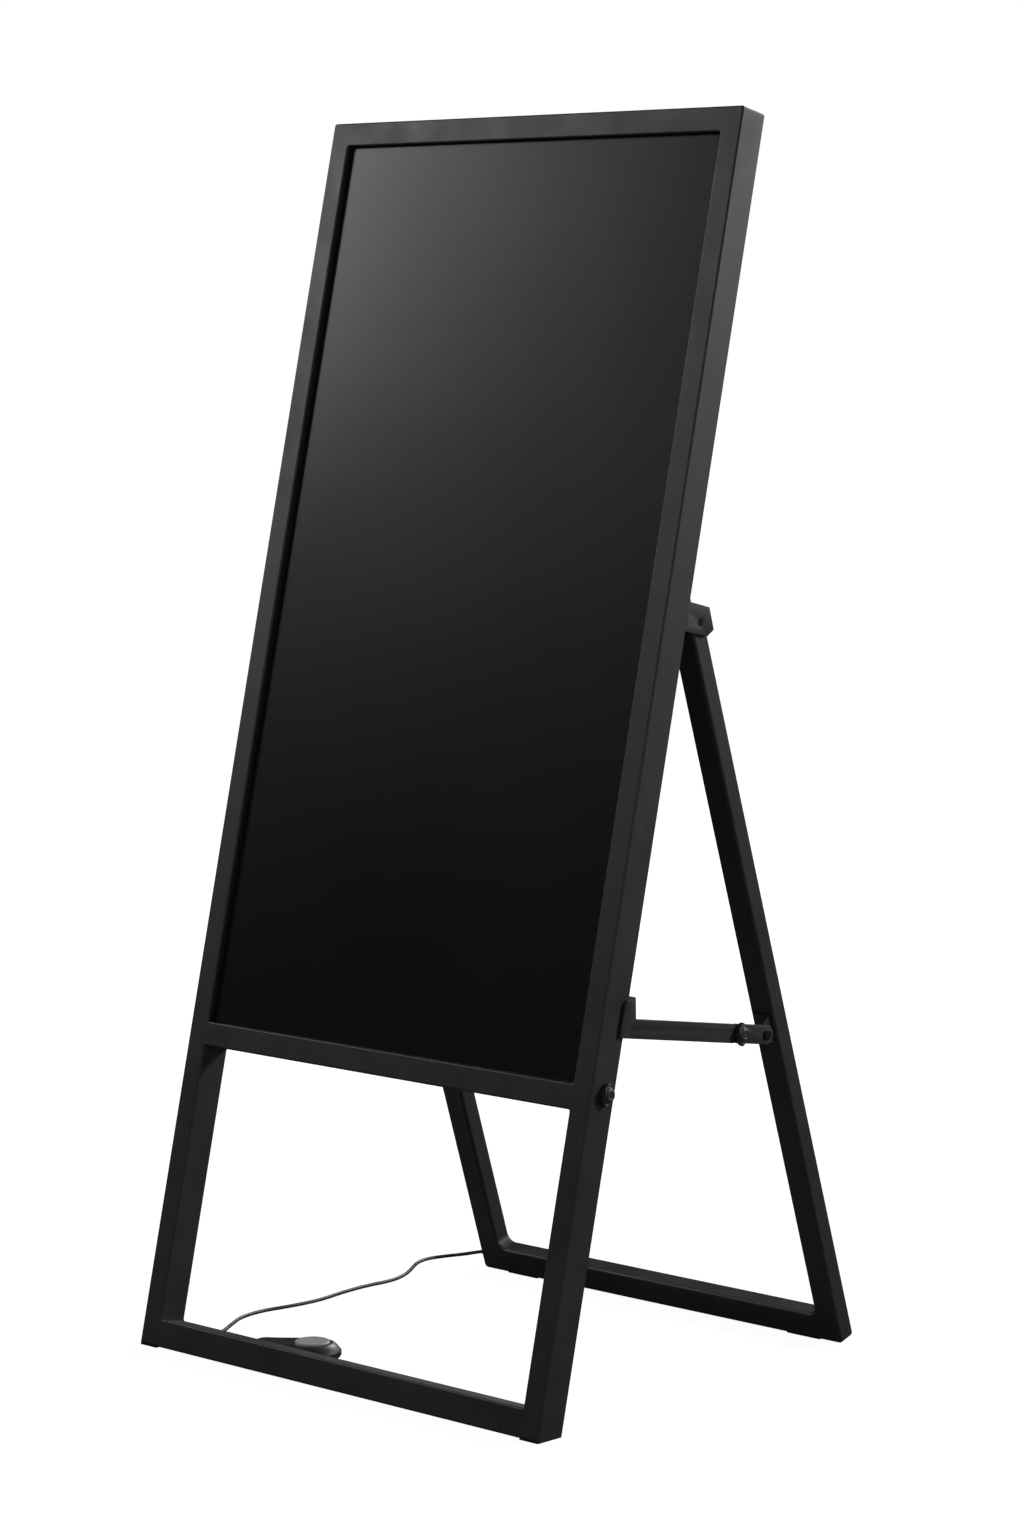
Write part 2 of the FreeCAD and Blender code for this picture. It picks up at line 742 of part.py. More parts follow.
# ---------------------------------------------------------------- stays
def arm(x0, x1, start, end):
    """A flat bar with round ends between two points in the side view."""
    radius = stay_height / 2
    along = Vector(0, end[0] - start[0], end[1] - start[1])
    across = Vector(0, -along.z, along.y).normalize() * radius
    forward = Vector(along).normalize() * radius
    a, b = Vector(x0, *start), Vector(x0, *end)
    edges = [
        Part.LineSegment(a + across, b + across).toShape(),
        Part.Arc(b + across, b + forward, b - across).toShape(),
        Part.LineSegment(b - across, a - across).toShape(),
        Part.Arc(a - across, a - forward, a + across).toShape(),
    ]
    return Part.Face(Part.Wire(edges)).extrude(Vector(x1 - x0, 0, 0))


def along_stay(point, distance, angle=0.0):
    return (
        point[0] + distance * math.cos(stay_angle + angle),
        point[1] + distance * math.sin(stay_angle + angle),
    )


def long_arm():
    """Front arm: pinned to the saddle, with a hook that drops over the clamp stud."""
    bar = arm(long_arm_in, long_arm_out, front_pivot, along_stay(clamp_point, arm_overrun - stay_height / 2))
    hole = rod("x", long_arm_in - 1, long_arm_out + 1, rivet_r + running_gap, *front_pivot)
    slot_r = stud_r + hook_clearance
    mouth = math.radians(180 + hook_angle)
    far = along_stay(clamp_point, stay_height, mouth)
    half = math.atan2(slot_r, stay_height)
    reach_out = math.hypot(slot_r, stay_height)
    corners = [
        along_stay(clamp_point, slot_r, mouth + math.pi / 2),
        along_stay(clamp_point, reach_out, mouth + half),
        along_stay(clamp_point, reach_out, mouth - half),
        along_stay(clamp_point, slot_r, mouth - math.pi / 2),
    ]
    slot = plate("x", corners, 0, long_arm_in - 1, long_arm_out + 1)
    seat = rod("x", long_arm_in - 1, long_arm_out + 1, slot_r, *clamp_point)
    return bar.cut([hole, slot, seat])


def short_arm_bar():
    """Rear arm: pinned to the leg's lug, with the clamp stud pressed in its other end."""
    bar = arm(short_arm_in, short_arm_out, clamp_point, rear_pivot)
    bar = bar.cut(rod("x", short_arm_in - 1, short_arm_out + 1, rivet_r + running_gap, *rear_pivot))
    return bar.cut(rod("x", short_arm_in - 1, short_arm_out + 1, stud_r, *clamp_point))


save_pair("stay_long_arm", long_arm())
save_pair("stay_short_arm", short_arm_bar())


def saddle():
    """Bracket wrapped round the upright's rear corner, with the lug of the stay's front pivot."""
    web = box(front_lug_in, half_board + lug_sheet, frame_depth, saddle_web, saddle_low, saddle_high)
    flange_side = [
        (frame_depth - 8.5, saddle_low),
        (saddle_web, saddle_low),
        (saddle_web, saddle_high),
        (frame_depth - 6.0, saddle_high),
        (frame_depth - 8.5, saddle_high - 4),
    ]
    flange = plate("x", flange_side, 0.4, half_board, half_board + lug_sheet)
    lug_side = [
        (frame_depth + 0.5, saddle_low),
        (stay_back + 7.5, saddle_low),
        (stay_back + 15.5, stay_slope + 11),
        (stay_back + 10, stay_slope + 33),
        (frame_depth + 12, stay_slope + 33),
        (frame_depth + 0.5, saddle_high),
    ]
    lug = plate("x", lug_side, 2, front_lug_in, front_lug_in + lug_sheet)
    bracket = web.fuse([flange, lug])
    bracket = bracket.cut(rod("x", front_lug_in - 1, front_lug_in + lug_sheet + 1, rivet_r, stay_back, stay_slope))
    for z in saddle_screws:
        bracket = bracket.cut(rod("y", frame_depth - 1, saddle_web + 1, screw_r + 0.2, hood_screw_x, z))
    return bracket


save_pair("stay_saddle", leaned(saddle()))


def leg_lug():
    """Angle welded on the leg's front face, with the stay's rear pivot in its ear."""
    low, high = lug_height - 16, lug_height + 16
    foot = box(leg_inner + 6, rear_lug_out, -lug_sheet, 0, low, high)
    ear_side = [
        (-0.5, low),
        (-0.5, high),
        (-lug_standoff - 4, lug_height + 9),
        (-lug_standoff - 9, lug_height),
        (-lug_standoff - 4, lug_height - 9),
    ]
    ear = plate("x", ear_side, 2, rear_lug_in, rear_lug_out)
    return foot.fuse(ear).cut(rod("x", rear_lug_in - 1, rear_lug_out + 1, rivet_r, -lug_standoff, lug_height))


save_pair("stay_lug", splayed(leg_lug()))


def rivet(inner_face, outer_face, point):
    """Rivet with a low head beyond each face."""
    head = 1.8
    shank = rod("x", inner_face, outer_face, rivet_r, *point)
    outer = rod("x", outer_face, outer_face + head, rivet_r + 2.5, *point)
    rim = [edge for edge in outer.Edges if abs(edge.BoundBox.XMin - outer_face - head) < 0.01]
    inner = rod("x", inner_face - head, inner_face, rivet_r + 2.5, *point)
    return shank.fuse([outer.makeFillet(1.2, rim), inner])


front_rivet = rivet(long_arm_in - stay_gap, front_lug_out, front_pivot)
rear_rivet = rivet(rear_lug_in, short_arm_out + stay_gap, rear_pivot)
save("stay_front_rivets", front_rivet, mirrored(front_rivet))
save("stay_rear_rivets", rear_rivet, mirrored(rear_rivet))

# ---------------------------------------------------------------- clamp knobs and their studs
hub_r, hub_length, wing_length, wing_thickness = 7.5, 8.0, 12.5, 4.6


def wing_knob(x0, bore):
    """Moulded wing knob on an x axis at the origin, wings up and down, seat at x0."""
    hub = rod("x", x0, x0 + hub_length, hub_r, 0, 0)
    rim = [e for e in hub.Edges if abs(e.BoundBox.XMin - x0 - hub_length) < 0.01 and e.BoundBox.XLength < 0.01]
    hub = hub.makeChamfer(1.4, rim)
    dish = Part.makeCone(4.0, 5.6, 1.1, Vector(x0 + hub_length - 1.1, 0, 0), Vector(1, 0, 0))
    wing = [
        (-7.2, -3.5),
        (-2.2, -wing_length),
        (2.2, -wing_length),
        (7.2, -3.5),
        (7.2, 3.5),
        (2.2, wing_length),
        (-2.2, wing_length),
        (-7.2, 3.5),
    ]
    wings = plate("x", wing, 1.8, x0 + 0.4, x0 + 0.4 + wing_thickness)
    wings = wings.makeFillet(1.0, [e for e in wings.Edges if abs(e.BoundBox.XMin - x0 - 0.4 - wing_thickness) < 0.01])
    knob = hub.fuse(wings).cut(dish)
    return knob.cut(rod("x", x0 - 1, x0 + hub_length - 2.6, bore, 0, 0))


stay_knob_seat = long_arm_out + cheek_gap
side_knob_seat = half_board + 0.3
stud_end = hub_length - 2.8


def stay_knob():
    knob = wing_knob(stay_knob_seat, stud_r + running_gap)
    knob.translate(Vector(0, *clamp_point))
    return knob


def clamp_stud():
    """Stud pressed into the short arm; the knob runs on it."""
    shank = rod("x", short_arm_in, stay_knob_seat + stud_end, stud_r, *clamp_point)
    head = rod("x", short_arm_in - 2.2, short_arm_in, stud_r + 2, *clamp_point)
    return shank.fuse(head)


save_pair("stay_knob", stay_knob())
save_pair("clamp_stud", clamp_stud())


def side_knob():
    knob = wing_knob(side_knob_seat, stud_r)
    knob.translate(Vector(0, knob_back, knob_slope))
    return leaned(knob)


def side_stud():
    """Stud fixed in the side knob; it runs through the upright into the rail's insert."""
    start = half_opening - 12
    return leaned(rod("x", start, side_knob_seat + hub_length - 2.6, stud_r, knob_back, knob_slope))


save_pair("side_knob", side_knob())
save_pair("side_stud", side_stud())


# ---------------------------------------------------------------- foot switch
def teardrop(big, small, z0, z1):
    """An upright block over two circles and their common tangents."""
    rise = (big - small) / switch_length
    side = math.sqrt(1 - rise * rise)
    top_a, top_b = Vector(-big * rise, big * side, z0), Vector(-switch_length - small * rise, small * side, z0)
    low_a, low_b = Vector(top_a.x, -top_a.y, z0), Vector(top_b.x, -top_b.y, z0)
    edges = [
        Part.Arc(low_a, Vector(big, 0, z0), top_a).toShape(),
        Part.LineSegment(top_a, top_b).toShape(),
        Part.Arc(top_b, Vector(-switch_length - small, 0, z0), low_b).toShape(),
        Part.LineSegment(low_b, low_a).toShape(),
    ]
    return Part.Face(Part.Wire(edges)).extrude(Vector(0, 0, z1 - z0))


def above_slope(drop):
    """Everything above the housing's sloping top, lowered by drop."""
    front, back = switch_r, -switch_length - switch_tail_r
    pitch = (switch_tall - switch_low) / (front - back)
    far = 200.0
    low = switch_low - pitch * (back + far) - drop
    high = switch_tall + pitch * (far - front) - drop
    points = [(-far, low), (far, high), (far, 99), (-far, 99)]
    return plate("y", points, 0, -far, far)


def on_floor(shape):
    turn = Placement(Vector(switch_x, switch_y - middle, 0), Rotation(Vector(0, 0, 1), switch_heading))
    return shape.transformed(turn.toMatrix())


base_top = switch_pad + switch_base
relief_z = 7.3
relief_r = 3.2
tail_end = -switch_length - switch_tail_r


def switch_housing():
    """Sloping teardrop shell with the button's hole and the lead's hole."""
    shell = teardrop(switch_r, switch_tail_r, base_top, 30).cut(above_slope(0))
    shell = round_edges(shell, 3.0, lambda edge: edge.BoundBox.ZMin > base_top + 4 and edge.BoundBox.ZMin > 9)
    inside = teardrop(switch_r - switch_wall, switch_tail_r - switch_wall, base_top - 1, 30)
    shell = shell.cut(inside.cut(above_slope(switch_wall)))
    shell = shell.cut(rod("z", base_top, 30, button_r + 0.4, 0, 0))
    return shell.cut(rod("x", tail_end - 1, tail_end + 4, relief_r, 0, relief_z))


button_low = base_top + button_travel + 1.0


def switch_button():
    """Round tread button with a retaining rim under the housing."""
    cap = rod("z", button_low, button_top, button_r, 0, 0)
    cap = round_edges(cap, 1.8, lambda edge: flat_in_z(edge, (button_top,)))
    rim = rod("z", button_low, button_low + 1.4, button_r + 2, 0, 0)
    well = rod("z", button_low - 1, button_top - 3, button_r - 2.2, 0, 0)
    seat = rod("z", button_low, button_top - 2, 8.5, 0, 0).cut(rod("z", button_low - 1, button_top - 3, 7.2, 0, 0))
    return cap.fuse(rim).cut(well).fuse(seat)


def switch_spring():
    """Compression spring between the base and the underside of the button."""
    wire_r, coil_r, turns, steps = 0.6, 6.0, 4, 12
    low, high = base_top + wire_r, button_top - 3 - wire_r
    count = turns * steps
    points = []
    for i in range(count + 1):
        turned = 2 * math.pi * i / steps
        rise = low + (high - low) * i / count
        points.append(Vector(coil_r * math.cos(turned), coil_r * math.sin(turned), rise))
    curve = Part.BSplineCurve()
    curve.interpolate(points)
    path = Part.Wire(curve.toShape())
    way = curve.tangent(curve.FirstParameter)[0]
    section = Part.Wire(Part.makeCircle(wire_r, points[0], way))
    return path.makePipeShell([section], True, False)


def strain_relief():
    """Ribbed sleeve moulded round the lead at the switch's tail."""
    nose = Part.makeCone(relief_r + 0.6, 2.7, 14, Vector(tail_end - 0.2, 0, relief_z), Vector(-1, 0, 0))
    neck = rod("x", tail_end - 0.2, tail_end + 5, relief_r, 0, relief_z)
    sleeve = nose.fuse(neck)
    for step in range(4):
        x = tail_end - 3.0 - step * 2.6
        groove = rod("x", x - 0.5, x + 0.5, 9, 0, relief_z)
        sleeve = sleeve.cut(groove.cut(rod("x", x - 1, x + 1, 2.8 - 0.1 * step, 0, relief_z)))
    return sleeve.cut(rod("x", tail_end - 20, tail_end + 6, lead_r, 0, relief_z))


save("foot_switch_pad", on_floor(teardrop(switch_r - 1, switch_tail_r - 1, 0, switch_pad)))
save("foot_switch_base", on_floor(teardrop(switch_r, switch_tail_r, switch_pad, base_top)))
save("foot_switch_housing", on_floor(switch_housing()))
save("foot_switch_button", on_floor(switch_button()))
save("foot_switch_spring", on_floor(switch_spring()))
save("foot_switch_contacts", on_floor(box(-46, -26, -4, 4, base_top, base_top + 4.5)))
save("foot_switch_relief", on_floor(strain_relief()))

# ---------------------------------------------------------------- lead
# The lead's route on the floor, from the grommet's nose to the strain relief, chosen by hand.
# y is measured from the board's front edge.
exit_y, exit_z = on_leg(leg_mid, lead_exit_height)
heading = math.radians(switch_heading)
relief_tip = tail_end - 14.3
leg_offsets = [              # from the grommet's nose, so the lead stays with the leg
    (0.0, 0.0, 0.0),
    (-15.5, 3.1, -4.1),
    (-31.5, 5.6, -8.7),
    (-49.5, 6.6, -13.1),
    (-64.5, -4.9, -15.6),
    (-69.0, -24.9, -15.6),
    (-61.5, -47.9, -15.6),
    (-45.5, -71.9, -15.6),
    (-29.5, -98.9, -15.6),
    (-20.5, -129.9, -15.6),
]
lead_route = [(lead_start_x + x, exit_y + middle + y, exit_z + z) for x, y, z in leg_offsets]
lead_route += [
    (-297.0, 350.0, 2.1),
    (-294.0, 308.0, 2.1),
    (-286.0, 266.0, 2.1),
    (-289.0, 224.0, 2.1),
    (-297.0, 187.0, 2.1),
    (-293.0, 151.0, 2.1),
    (-277.0, 122.0, 2.1),
    (-262.0, 97.0, 2.1),
    (-252.0, 73.0, 2.1),
    (-237.0, 58.0, 2.6),
    (-218.0, 56.6, 5.0),
    (
        switch_x + relief_tip * math.cos(heading),
        switch_y + relief_tip * math.sin(heading),
        relief_z,
    ),
]


def lead_path(route):
    """Straight runs joined by tangent arcs, as large as their runs allow."""
    points = [Vector(x, y - middle, z) for x, y, z in route]
    edges = []
    radii = []
    here = points[0]
    for before, corner, after in zip(points, points[1:], points[2:]):
        into, out = corner - before, after - corner
        half_turn = into.getAngle(out) / 2
        cut = 0.45 * min(into.Length, out.Length)
        radius = cut / math.tan(half_turn)
        radii.append(round(radius, 1))
        into.normalize()
        out.normalize()
        start, end = corner - into * cut, corner + out * cut
        toward = (out - into).normalize()
        peak = corner + toward * (radius / math.cos(half_turn) - radius)
        edges.append(Part.LineSegment(here, start).toShape())
        edges.append(Part.Arc(start, peak, end).toShape())
        here = end
    edges.append(Part.LineSegment(here, points[-1]).toShape())
    print("lead radii", radii)
    return Part.Wire(edges)


path = lead_path(lead_route)
start_way = path.Edges[0].tangentAt(0)
section = Part.Wire(Part.makeCircle(lead_r, path.Edges[0].Vertexes[0].Point, start_way))
lead = path.makePipeShell([section], True, False)
print("lead length", round(path.Length, 1), "volume ratio", lead.Volume / (math.pi * lead_r**2 * path.Length))
save("switch_lead", lead)
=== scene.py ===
import math
import bmesh
import bpy
import numpy as np
from mathutils import Matrix, Vector


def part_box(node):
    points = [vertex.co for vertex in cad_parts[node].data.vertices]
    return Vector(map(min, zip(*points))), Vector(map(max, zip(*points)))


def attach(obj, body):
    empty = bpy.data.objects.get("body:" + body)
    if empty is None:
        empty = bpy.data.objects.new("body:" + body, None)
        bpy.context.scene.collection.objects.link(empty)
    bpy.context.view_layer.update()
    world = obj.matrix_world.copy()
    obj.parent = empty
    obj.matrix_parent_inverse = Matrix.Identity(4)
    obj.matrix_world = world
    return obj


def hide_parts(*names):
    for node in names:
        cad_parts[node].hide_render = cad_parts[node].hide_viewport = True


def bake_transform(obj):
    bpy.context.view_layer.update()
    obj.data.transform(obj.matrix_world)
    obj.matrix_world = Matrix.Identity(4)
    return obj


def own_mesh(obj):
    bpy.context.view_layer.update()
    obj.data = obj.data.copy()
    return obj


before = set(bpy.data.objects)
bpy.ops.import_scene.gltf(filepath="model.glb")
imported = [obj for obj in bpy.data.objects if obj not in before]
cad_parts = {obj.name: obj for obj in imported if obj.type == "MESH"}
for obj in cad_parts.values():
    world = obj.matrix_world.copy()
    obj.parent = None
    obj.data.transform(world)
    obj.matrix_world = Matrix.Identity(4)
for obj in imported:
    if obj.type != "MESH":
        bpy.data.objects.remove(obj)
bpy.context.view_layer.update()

# ---- studio --------------------------------------------------------------------------------
# A pale floor under an even white surround, and five soft lights: the key high on the left, and
# weaker ones on the right, above, in front and behind. The camera stands right of the board.
FRONT_EDGE = -0.264896       # where the front frame meets the floor, along y
CAMERA_AT = Vector((2.9535, -2.8811 + FRONT_EDGE, 1.0924))
CAMERA_TURN = math.radians(43.109)
CAMERA_DROP = math.radians(6.21)
LENS = 96.28


def aim(turn, drop):
    """Turns an object that looks along -z to look turn left of +y and drop below level."""
    return Matrix.Rotation(turn, 4, "Z") @ Matrix.Rotation(math.pi / 2 - drop, 4, "X")


camera_data = bpy.data.cameras.new("camera")
camera_data.lens = LENS
camera_data.sensor_width = 36.0
camera_data.sensor_fit = "AUTO"
camera = bpy.data.objects.new("camera", camera_data)
bpy.context.scene.collection.objects.link(camera)
camera.matrix_world = Matrix.Translation(CAMERA_AT) @ aim(CAMERA_TURN, CAMERA_DROP)
bpy.context.scene.camera = camera
bpy.context.scene.view_settings.view_transform = "Standard"


def soft_light(name, place, target, size, power):
    """A rectangular area light at place that faces target."""
    data = bpy.data.lights.new(name, "AREA")
    data.shape = "RECTANGLE"
    data.size, data.size_y = size
    data.energy = power
    light = bpy.data.objects.new(name, data)
    bpy.context.scene.collection.objects.link(light)
    facing = (Vector(target) - Vector(place)).to_track_quat("-Z", "Y")
    light.matrix_world = Matrix.Translation(place) @ facing.to_matrix().to_4x4()
    return light


soft_light("key", (-3.3, -1.75, 2.6), (0.0, 0.0, 0.9), (0.9, 1.3), 46)
soft_light("side", (2.9, 3.2, 2.4), (0.25, 0.1, 1.2), (1.0, 1.0), 105)
soft_light("top", (0.3, 1.0, 4.0), (0.0, 0.0, 0.0), (2.5, 2.5), 8)
soft_light("front", (3.3, -3.2, 2.0), (0.0, 0.0, 0.7), (0.5, 0.5), 26)
soft_light("back", (-0.8, 4.2, 2.8), (0.0, 0.0, 0.7), (1.6, 1.6), 130)

SURROUND = 0.03              # the surround's light on the object, where 1 is white
world = bpy.data.worlds.new("surround")
bpy.context.scene.world = world
world.use_nodes = True
sky, sky_links = world.node_tree.nodes, world.node_tree.links
sky.clear()
sky_seen = sky.new("ShaderNodeLightPath")
sky_plain = sky.new("ShaderNodeBackground")
sky_plain.inputs["Strength"].default_value = 1.0
sky_plain.inputs["Color"].default_value = (1, 1, 1, 1)
sky_dim = sky.new("ShaderNodeBackground")
sky_dim.inputs["Strength"].default_value = SURROUND
sky_dim.inputs["Color"].default_value = (1, 1, 1, 1)
sky_choice = sky.new("ShaderNodeMixShader")
sky_out = sky.new("ShaderNodeOutputWorld")
sky_links.new(sky_seen.outputs["Is Camera Ray"], sky_choice.inputs[0])
sky_links.new(sky_dim.outputs[0], sky_choice.inputs[1])
sky_links.new(sky_plain.outputs[0], sky_choice.inputs[2])
sky_links.new(sky_choice.outputs[0], sky_out.inputs["Surface"])

FLOOR_HALF = 40.0
floor_mesh = bpy.data.meshes.new("floor")
floor_corners = [(across * FLOOR_HALF, back * FLOOR_HALF, 0)
                 for across, back in ((-1, -1), (1, -1), (1, 1), (-1, 1))]
floor_mesh.from_pydata(floor_corners, [], [(0, 1, 2, 3)])
floor = bpy.data.objects.new("floor", floor_mesh)
bpy.context.scene.collection.objects.link(floor)

# The floor's own glow lifts it to the surround's white as it gets further from the object.
floor_paint = bpy.data.materials.new("floor_paint")
floor_paint.use_nodes = True
floor_nodes, floor_links = floor_paint.node_tree.nodes, floor_paint.node_tree.links
floor_shader = floor_nodes["Principled BSDF"]
floor_shader.inputs["Base Color"].default_value = (0.14, 0.14, 0.14, 1)
floor_shader.inputs["Roughness"].default_value = 0.9
floor_shader.inputs["Specular IOR Level"].default_value = 0.0
floor_shader.inputs["Emission Color"].default_value = (1, 1, 1, 1)
floor_place = floor_nodes.new("ShaderNodeTexCoord")
floor_reach = floor_nodes.new("ShaderNodeVectorMath")
floor_reach.operation = "LENGTH"
floor_fade = floor_nodes.new("ShaderNodeMapRange")
floor_fade.inputs["From Min"].default_value = 0.6
floor_fade.inputs["From Max"].default_value = 2.2
floor_fade.inputs["To Min"].default_value = 0.95
floor_fade.inputs["To Max"].default_value = 1.05
floor_seen = floor_nodes.new("ShaderNodeLightPath")
floor_glow = floor_nodes.new("ShaderNodeMath")
floor_glow.operation = "MULTIPLY"
floor_links.new(floor_place.outputs["Object"], floor_reach.inputs[0])
floor_links.new(floor_reach.outputs["Value"], floor_fade.inputs["Value"])
floor_links.new(floor_seen.outputs["Is Camera Ray"], floor_glow.inputs[0])
floor_links.new(floor_fade.outputs[0], floor_glow.inputs[1])
floor_links.new(floor_glow.outputs[0], floor_shader.inputs["Emission Strength"])
floor_mesh.materials.append(floor_paint)

# ---- welded front frame --------------------------------------------------------------------
# Two uprights and three rails of rectangular steel tube, welded, the visible joints ground
# flush, and powder coated satin black. The beads are left standing on the rear face.
LEAN = math.radians(13.0)
GLIDE = 0.001
HALF_OPENING = 0.265
FRAME_DEPTH = 0.035
RAILS = ((0.0085, 0.030), (0.326, 0.352), (1.314, 1.340))
BEAD_R = 0.0017
BEAD_PITCH = 0.0022
BEAD_INSET = 0.002           # how far a bead stops short of the rail's edges
COAT_DARK, COAT_LIGHT = (0.0165, 0.0165, 0.0168), (0.0210, 0.0210, 0.0213)


def surface_finish(name, dark, light, roughness, metallic=0.0, specular=0.5, grain=0.0008,
                   height=0.00003, broad=0.05, sheen_change=0.05):
    """A material whose colour drifts between dark and light over broad metres, whose
    roughness drifts by sheen_change, and whose surface is raised by noise at grain metres."""
    material = bpy.data.materials.new(name)
    material.use_nodes = True
    nodes, links = material.node_tree.nodes, material.node_tree.links
    shader = nodes["Principled BSDF"]
    shader.inputs["Metallic"].default_value = metallic
    shader.inputs["Specular IOR Level"].default_value = specular
    place = nodes.new("ShaderNodeTexCoord")
    drift = nodes.new("ShaderNodeTexNoise")
    drift.inputs["Scale"].default_value = 1.0 / broad
    drift.inputs["Detail"].default_value = 5.0
    tone = nodes.new("ShaderNodeValToRGB")
    tone.color_ramp.elements[0].position = 0.32
    tone.color_ramp.elements[0].color = (*dark, 1)
    tone.color_ramp.elements[1].position = 0.68
    tone.color_ramp.elements[1].color = (*light, 1)
    shine = nodes.new("ShaderNodeMapRange")
    shine.inputs["From Min"].default_value = 0.3
    shine.inputs["From Max"].default_value = 0.7
    shine.inputs["To Min"].default_value = roughness - sheen_change
    shine.inputs["To Max"].default_value = roughness + sheen_change
    fine = nodes.new("ShaderNodeTexNoise")
    fine.inputs["Scale"].default_value = 1.0 / grain
    fine.inputs["Detail"].default_value = 3.0
    relief = nodes.new("ShaderNodeBump")
    relief.inputs["Distance"].default_value = height
    links.new(place.outputs["Object"], drift.inputs["Vector"])
    links.new(place.outputs["Object"], fine.inputs["Vector"])
    links.new(drift.outputs["Fac"], tone.inputs["Fac"])
    links.new(drift.outputs["Fac"], shine.inputs["Value"])
    links.new(tone.outputs["Color"], shader.inputs["Base Color"])
    links.new(shine.outputs[0], shader.inputs["Roughness"])
    links.new(fine.outputs["Fac"], relief.inputs["Height"])
    links.new(relief.outputs["Normal"], shader.inputs["Normal"])
    return material


def give_finish(material, *names):
    """Gives CAD nodes a material."""
    for name in names:
        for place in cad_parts[name].material_slots:
            place.material = material


def in_front_frame(points):
    """Points given across, back from the front face and up the slope, set in the scene: turned
    back by the lean about the foot, then moved to the front edge and onto the glides."""
    x, y, z = np.moveaxis(np.asarray(points, float), -1, 0)
    back = y * math.cos(LEAN) + z * math.sin(LEAN) + FRONT_EDGE
    up = z * math.cos(LEAN) - y * math.sin(LEAN) + GLIDE
    return np.stack([x, back, up], -1)


def grid_mesh(name, points, around=False, along=False):
    """A mesh of quads over a grid of points, closed around the second and along the first."""
    rows, columns = points.shape[:2]
    a = np.arange(rows if along else rows - 1)[:, None]
    b = np.arange(columns if around else columns - 1)[None, :]
    a2, b2 = (a + 1) % rows, (b + 1) % columns
    faces = np.stack([a * columns + b, a * columns + b2, a2 * columns + b2, a2 * columns + b], -1)
    mesh = bpy.data.meshes.new(name)
    mesh.from_pydata(points.reshape(-1, 3), [], faces.reshape(-1, 4))
    return closed(mesh)


def closed(mesh):
    """Merges doubled points, fills open ends, turns every face outwards and shades it smooth."""
    work = bmesh.new()
    work.from_mesh(mesh)
    bmesh.ops.remove_doubles(work, verts=work.verts, dist=1e-6)
    bmesh.ops.holes_fill(work, edges=[e for e in work.edges if e.is_boundary], sides=0)
    bmesh.ops.recalc_face_normals(work, faces=work.faces)
    work.to_mesh(mesh)
    work.free()
    mesh.shade_smooth()
    return mesh


def add_piece(name, meshes, material, body, slot, *stands_for):
    """Joins meshes into one new piece with a finish, on a body, in place of CAD nodes."""
    work = bmesh.new()
    for mesh in meshes:
        work.from_mesh(mesh)
    joined = bpy.data.meshes.new(name)
    work.to_mesh(joined)
    work.free()
    joined.shade_smooth()
    joined.materials.append(material)
    piece = bpy.data.objects.new(name, joined)
    bpy.context.scene.collection.objects.link(piece)
    if body:
        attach(piece, body)
    if stands_for:
        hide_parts(*stands_for)
    return piece


def weld_bead(start, end, lift):
    """A bead from start to end: a round section whose radius swells and falls once each
    BEAD_PITCH along the run and closes to nothing at both ends. lift sets it in the scene."""
    start, end = np.array(start), np.array(end)
    length = np.linalg.norm(end - start)
    s = np.linspace(0, 1, int(length / BEAD_PITCH) * 6 + 2)[:, None]
    turn = np.linspace(0, 2 * math.pi, 12, endpoint=False)[None, :]
    taper = np.sqrt(np.clip(1 - (2 * s - 1) ** 8, 0, 1))
    radius = BEAD_R * taper * (0.86 + 0.14 * np.abs(np.cos(math.pi * s * length / BEAD_PITCH)))
    centre = start + (end - start) * s
    way = (end - start) / length
    side = np.cross(way, (0.0, 1.0, 0.0))
    points = centre[:, None] + radius[..., None] * (
        np.cos(turn)[..., None] * side + 0.55 * np.sin(turn)[..., None] * np.array((0.0, 1.0, 0.0)))
    return grid_mesh("bead", lift(points), around=True)


frame_coat = surface_finish("frame_coat", COAT_DARK, COAT_LIGHT, 0.50, specular=0.58)
give_finish(frame_coat, "upright_left", "upright_right", "top_rail", "middle_rail", "bottom_rail")
frame_beads = [
    weld_bead((side * HALF_OPENING, FRAME_DEPTH, low + BEAD_INSET),
              (side * HALF_OPENING, FRAME_DEPTH, high - BEAD_INSET), in_front_frame)
    for side in (-1, 1) for low, high in RAILS
]
add_piece("frame_weld_beads", frame_beads, frame_coat, "front_frame", "frame_coat")

# ---- foot plugs and rail inserts -----------------------------------------------------------
# Moulded black plugs close the uprights' feet and carry them on a 1 mm sole. Threaded zinc
# plated blocks in the middle rail's ends take the side knobs' studs.
plug_plastic = surface_finish("plug_plastic", (0.010, 0.010, 0.010), (0.017, 0.017, 0.017), 0.55,
                              grain=0.0005, height=0.00004, broad=0.01)
give_finish(plug_plastic, "upright_foot_plugs", "leg_caps")
plated_steel = surface_finish("plated_steel", (0.42, 0.43, 0.44), (0.60, 0.60, 0.58), 0.34, metallic=1.0,
                              grain=0.0006, height=0.00001, broad=0.004, sheen_change=0.08)
give_finish(plated_steel, "rail_inserts")

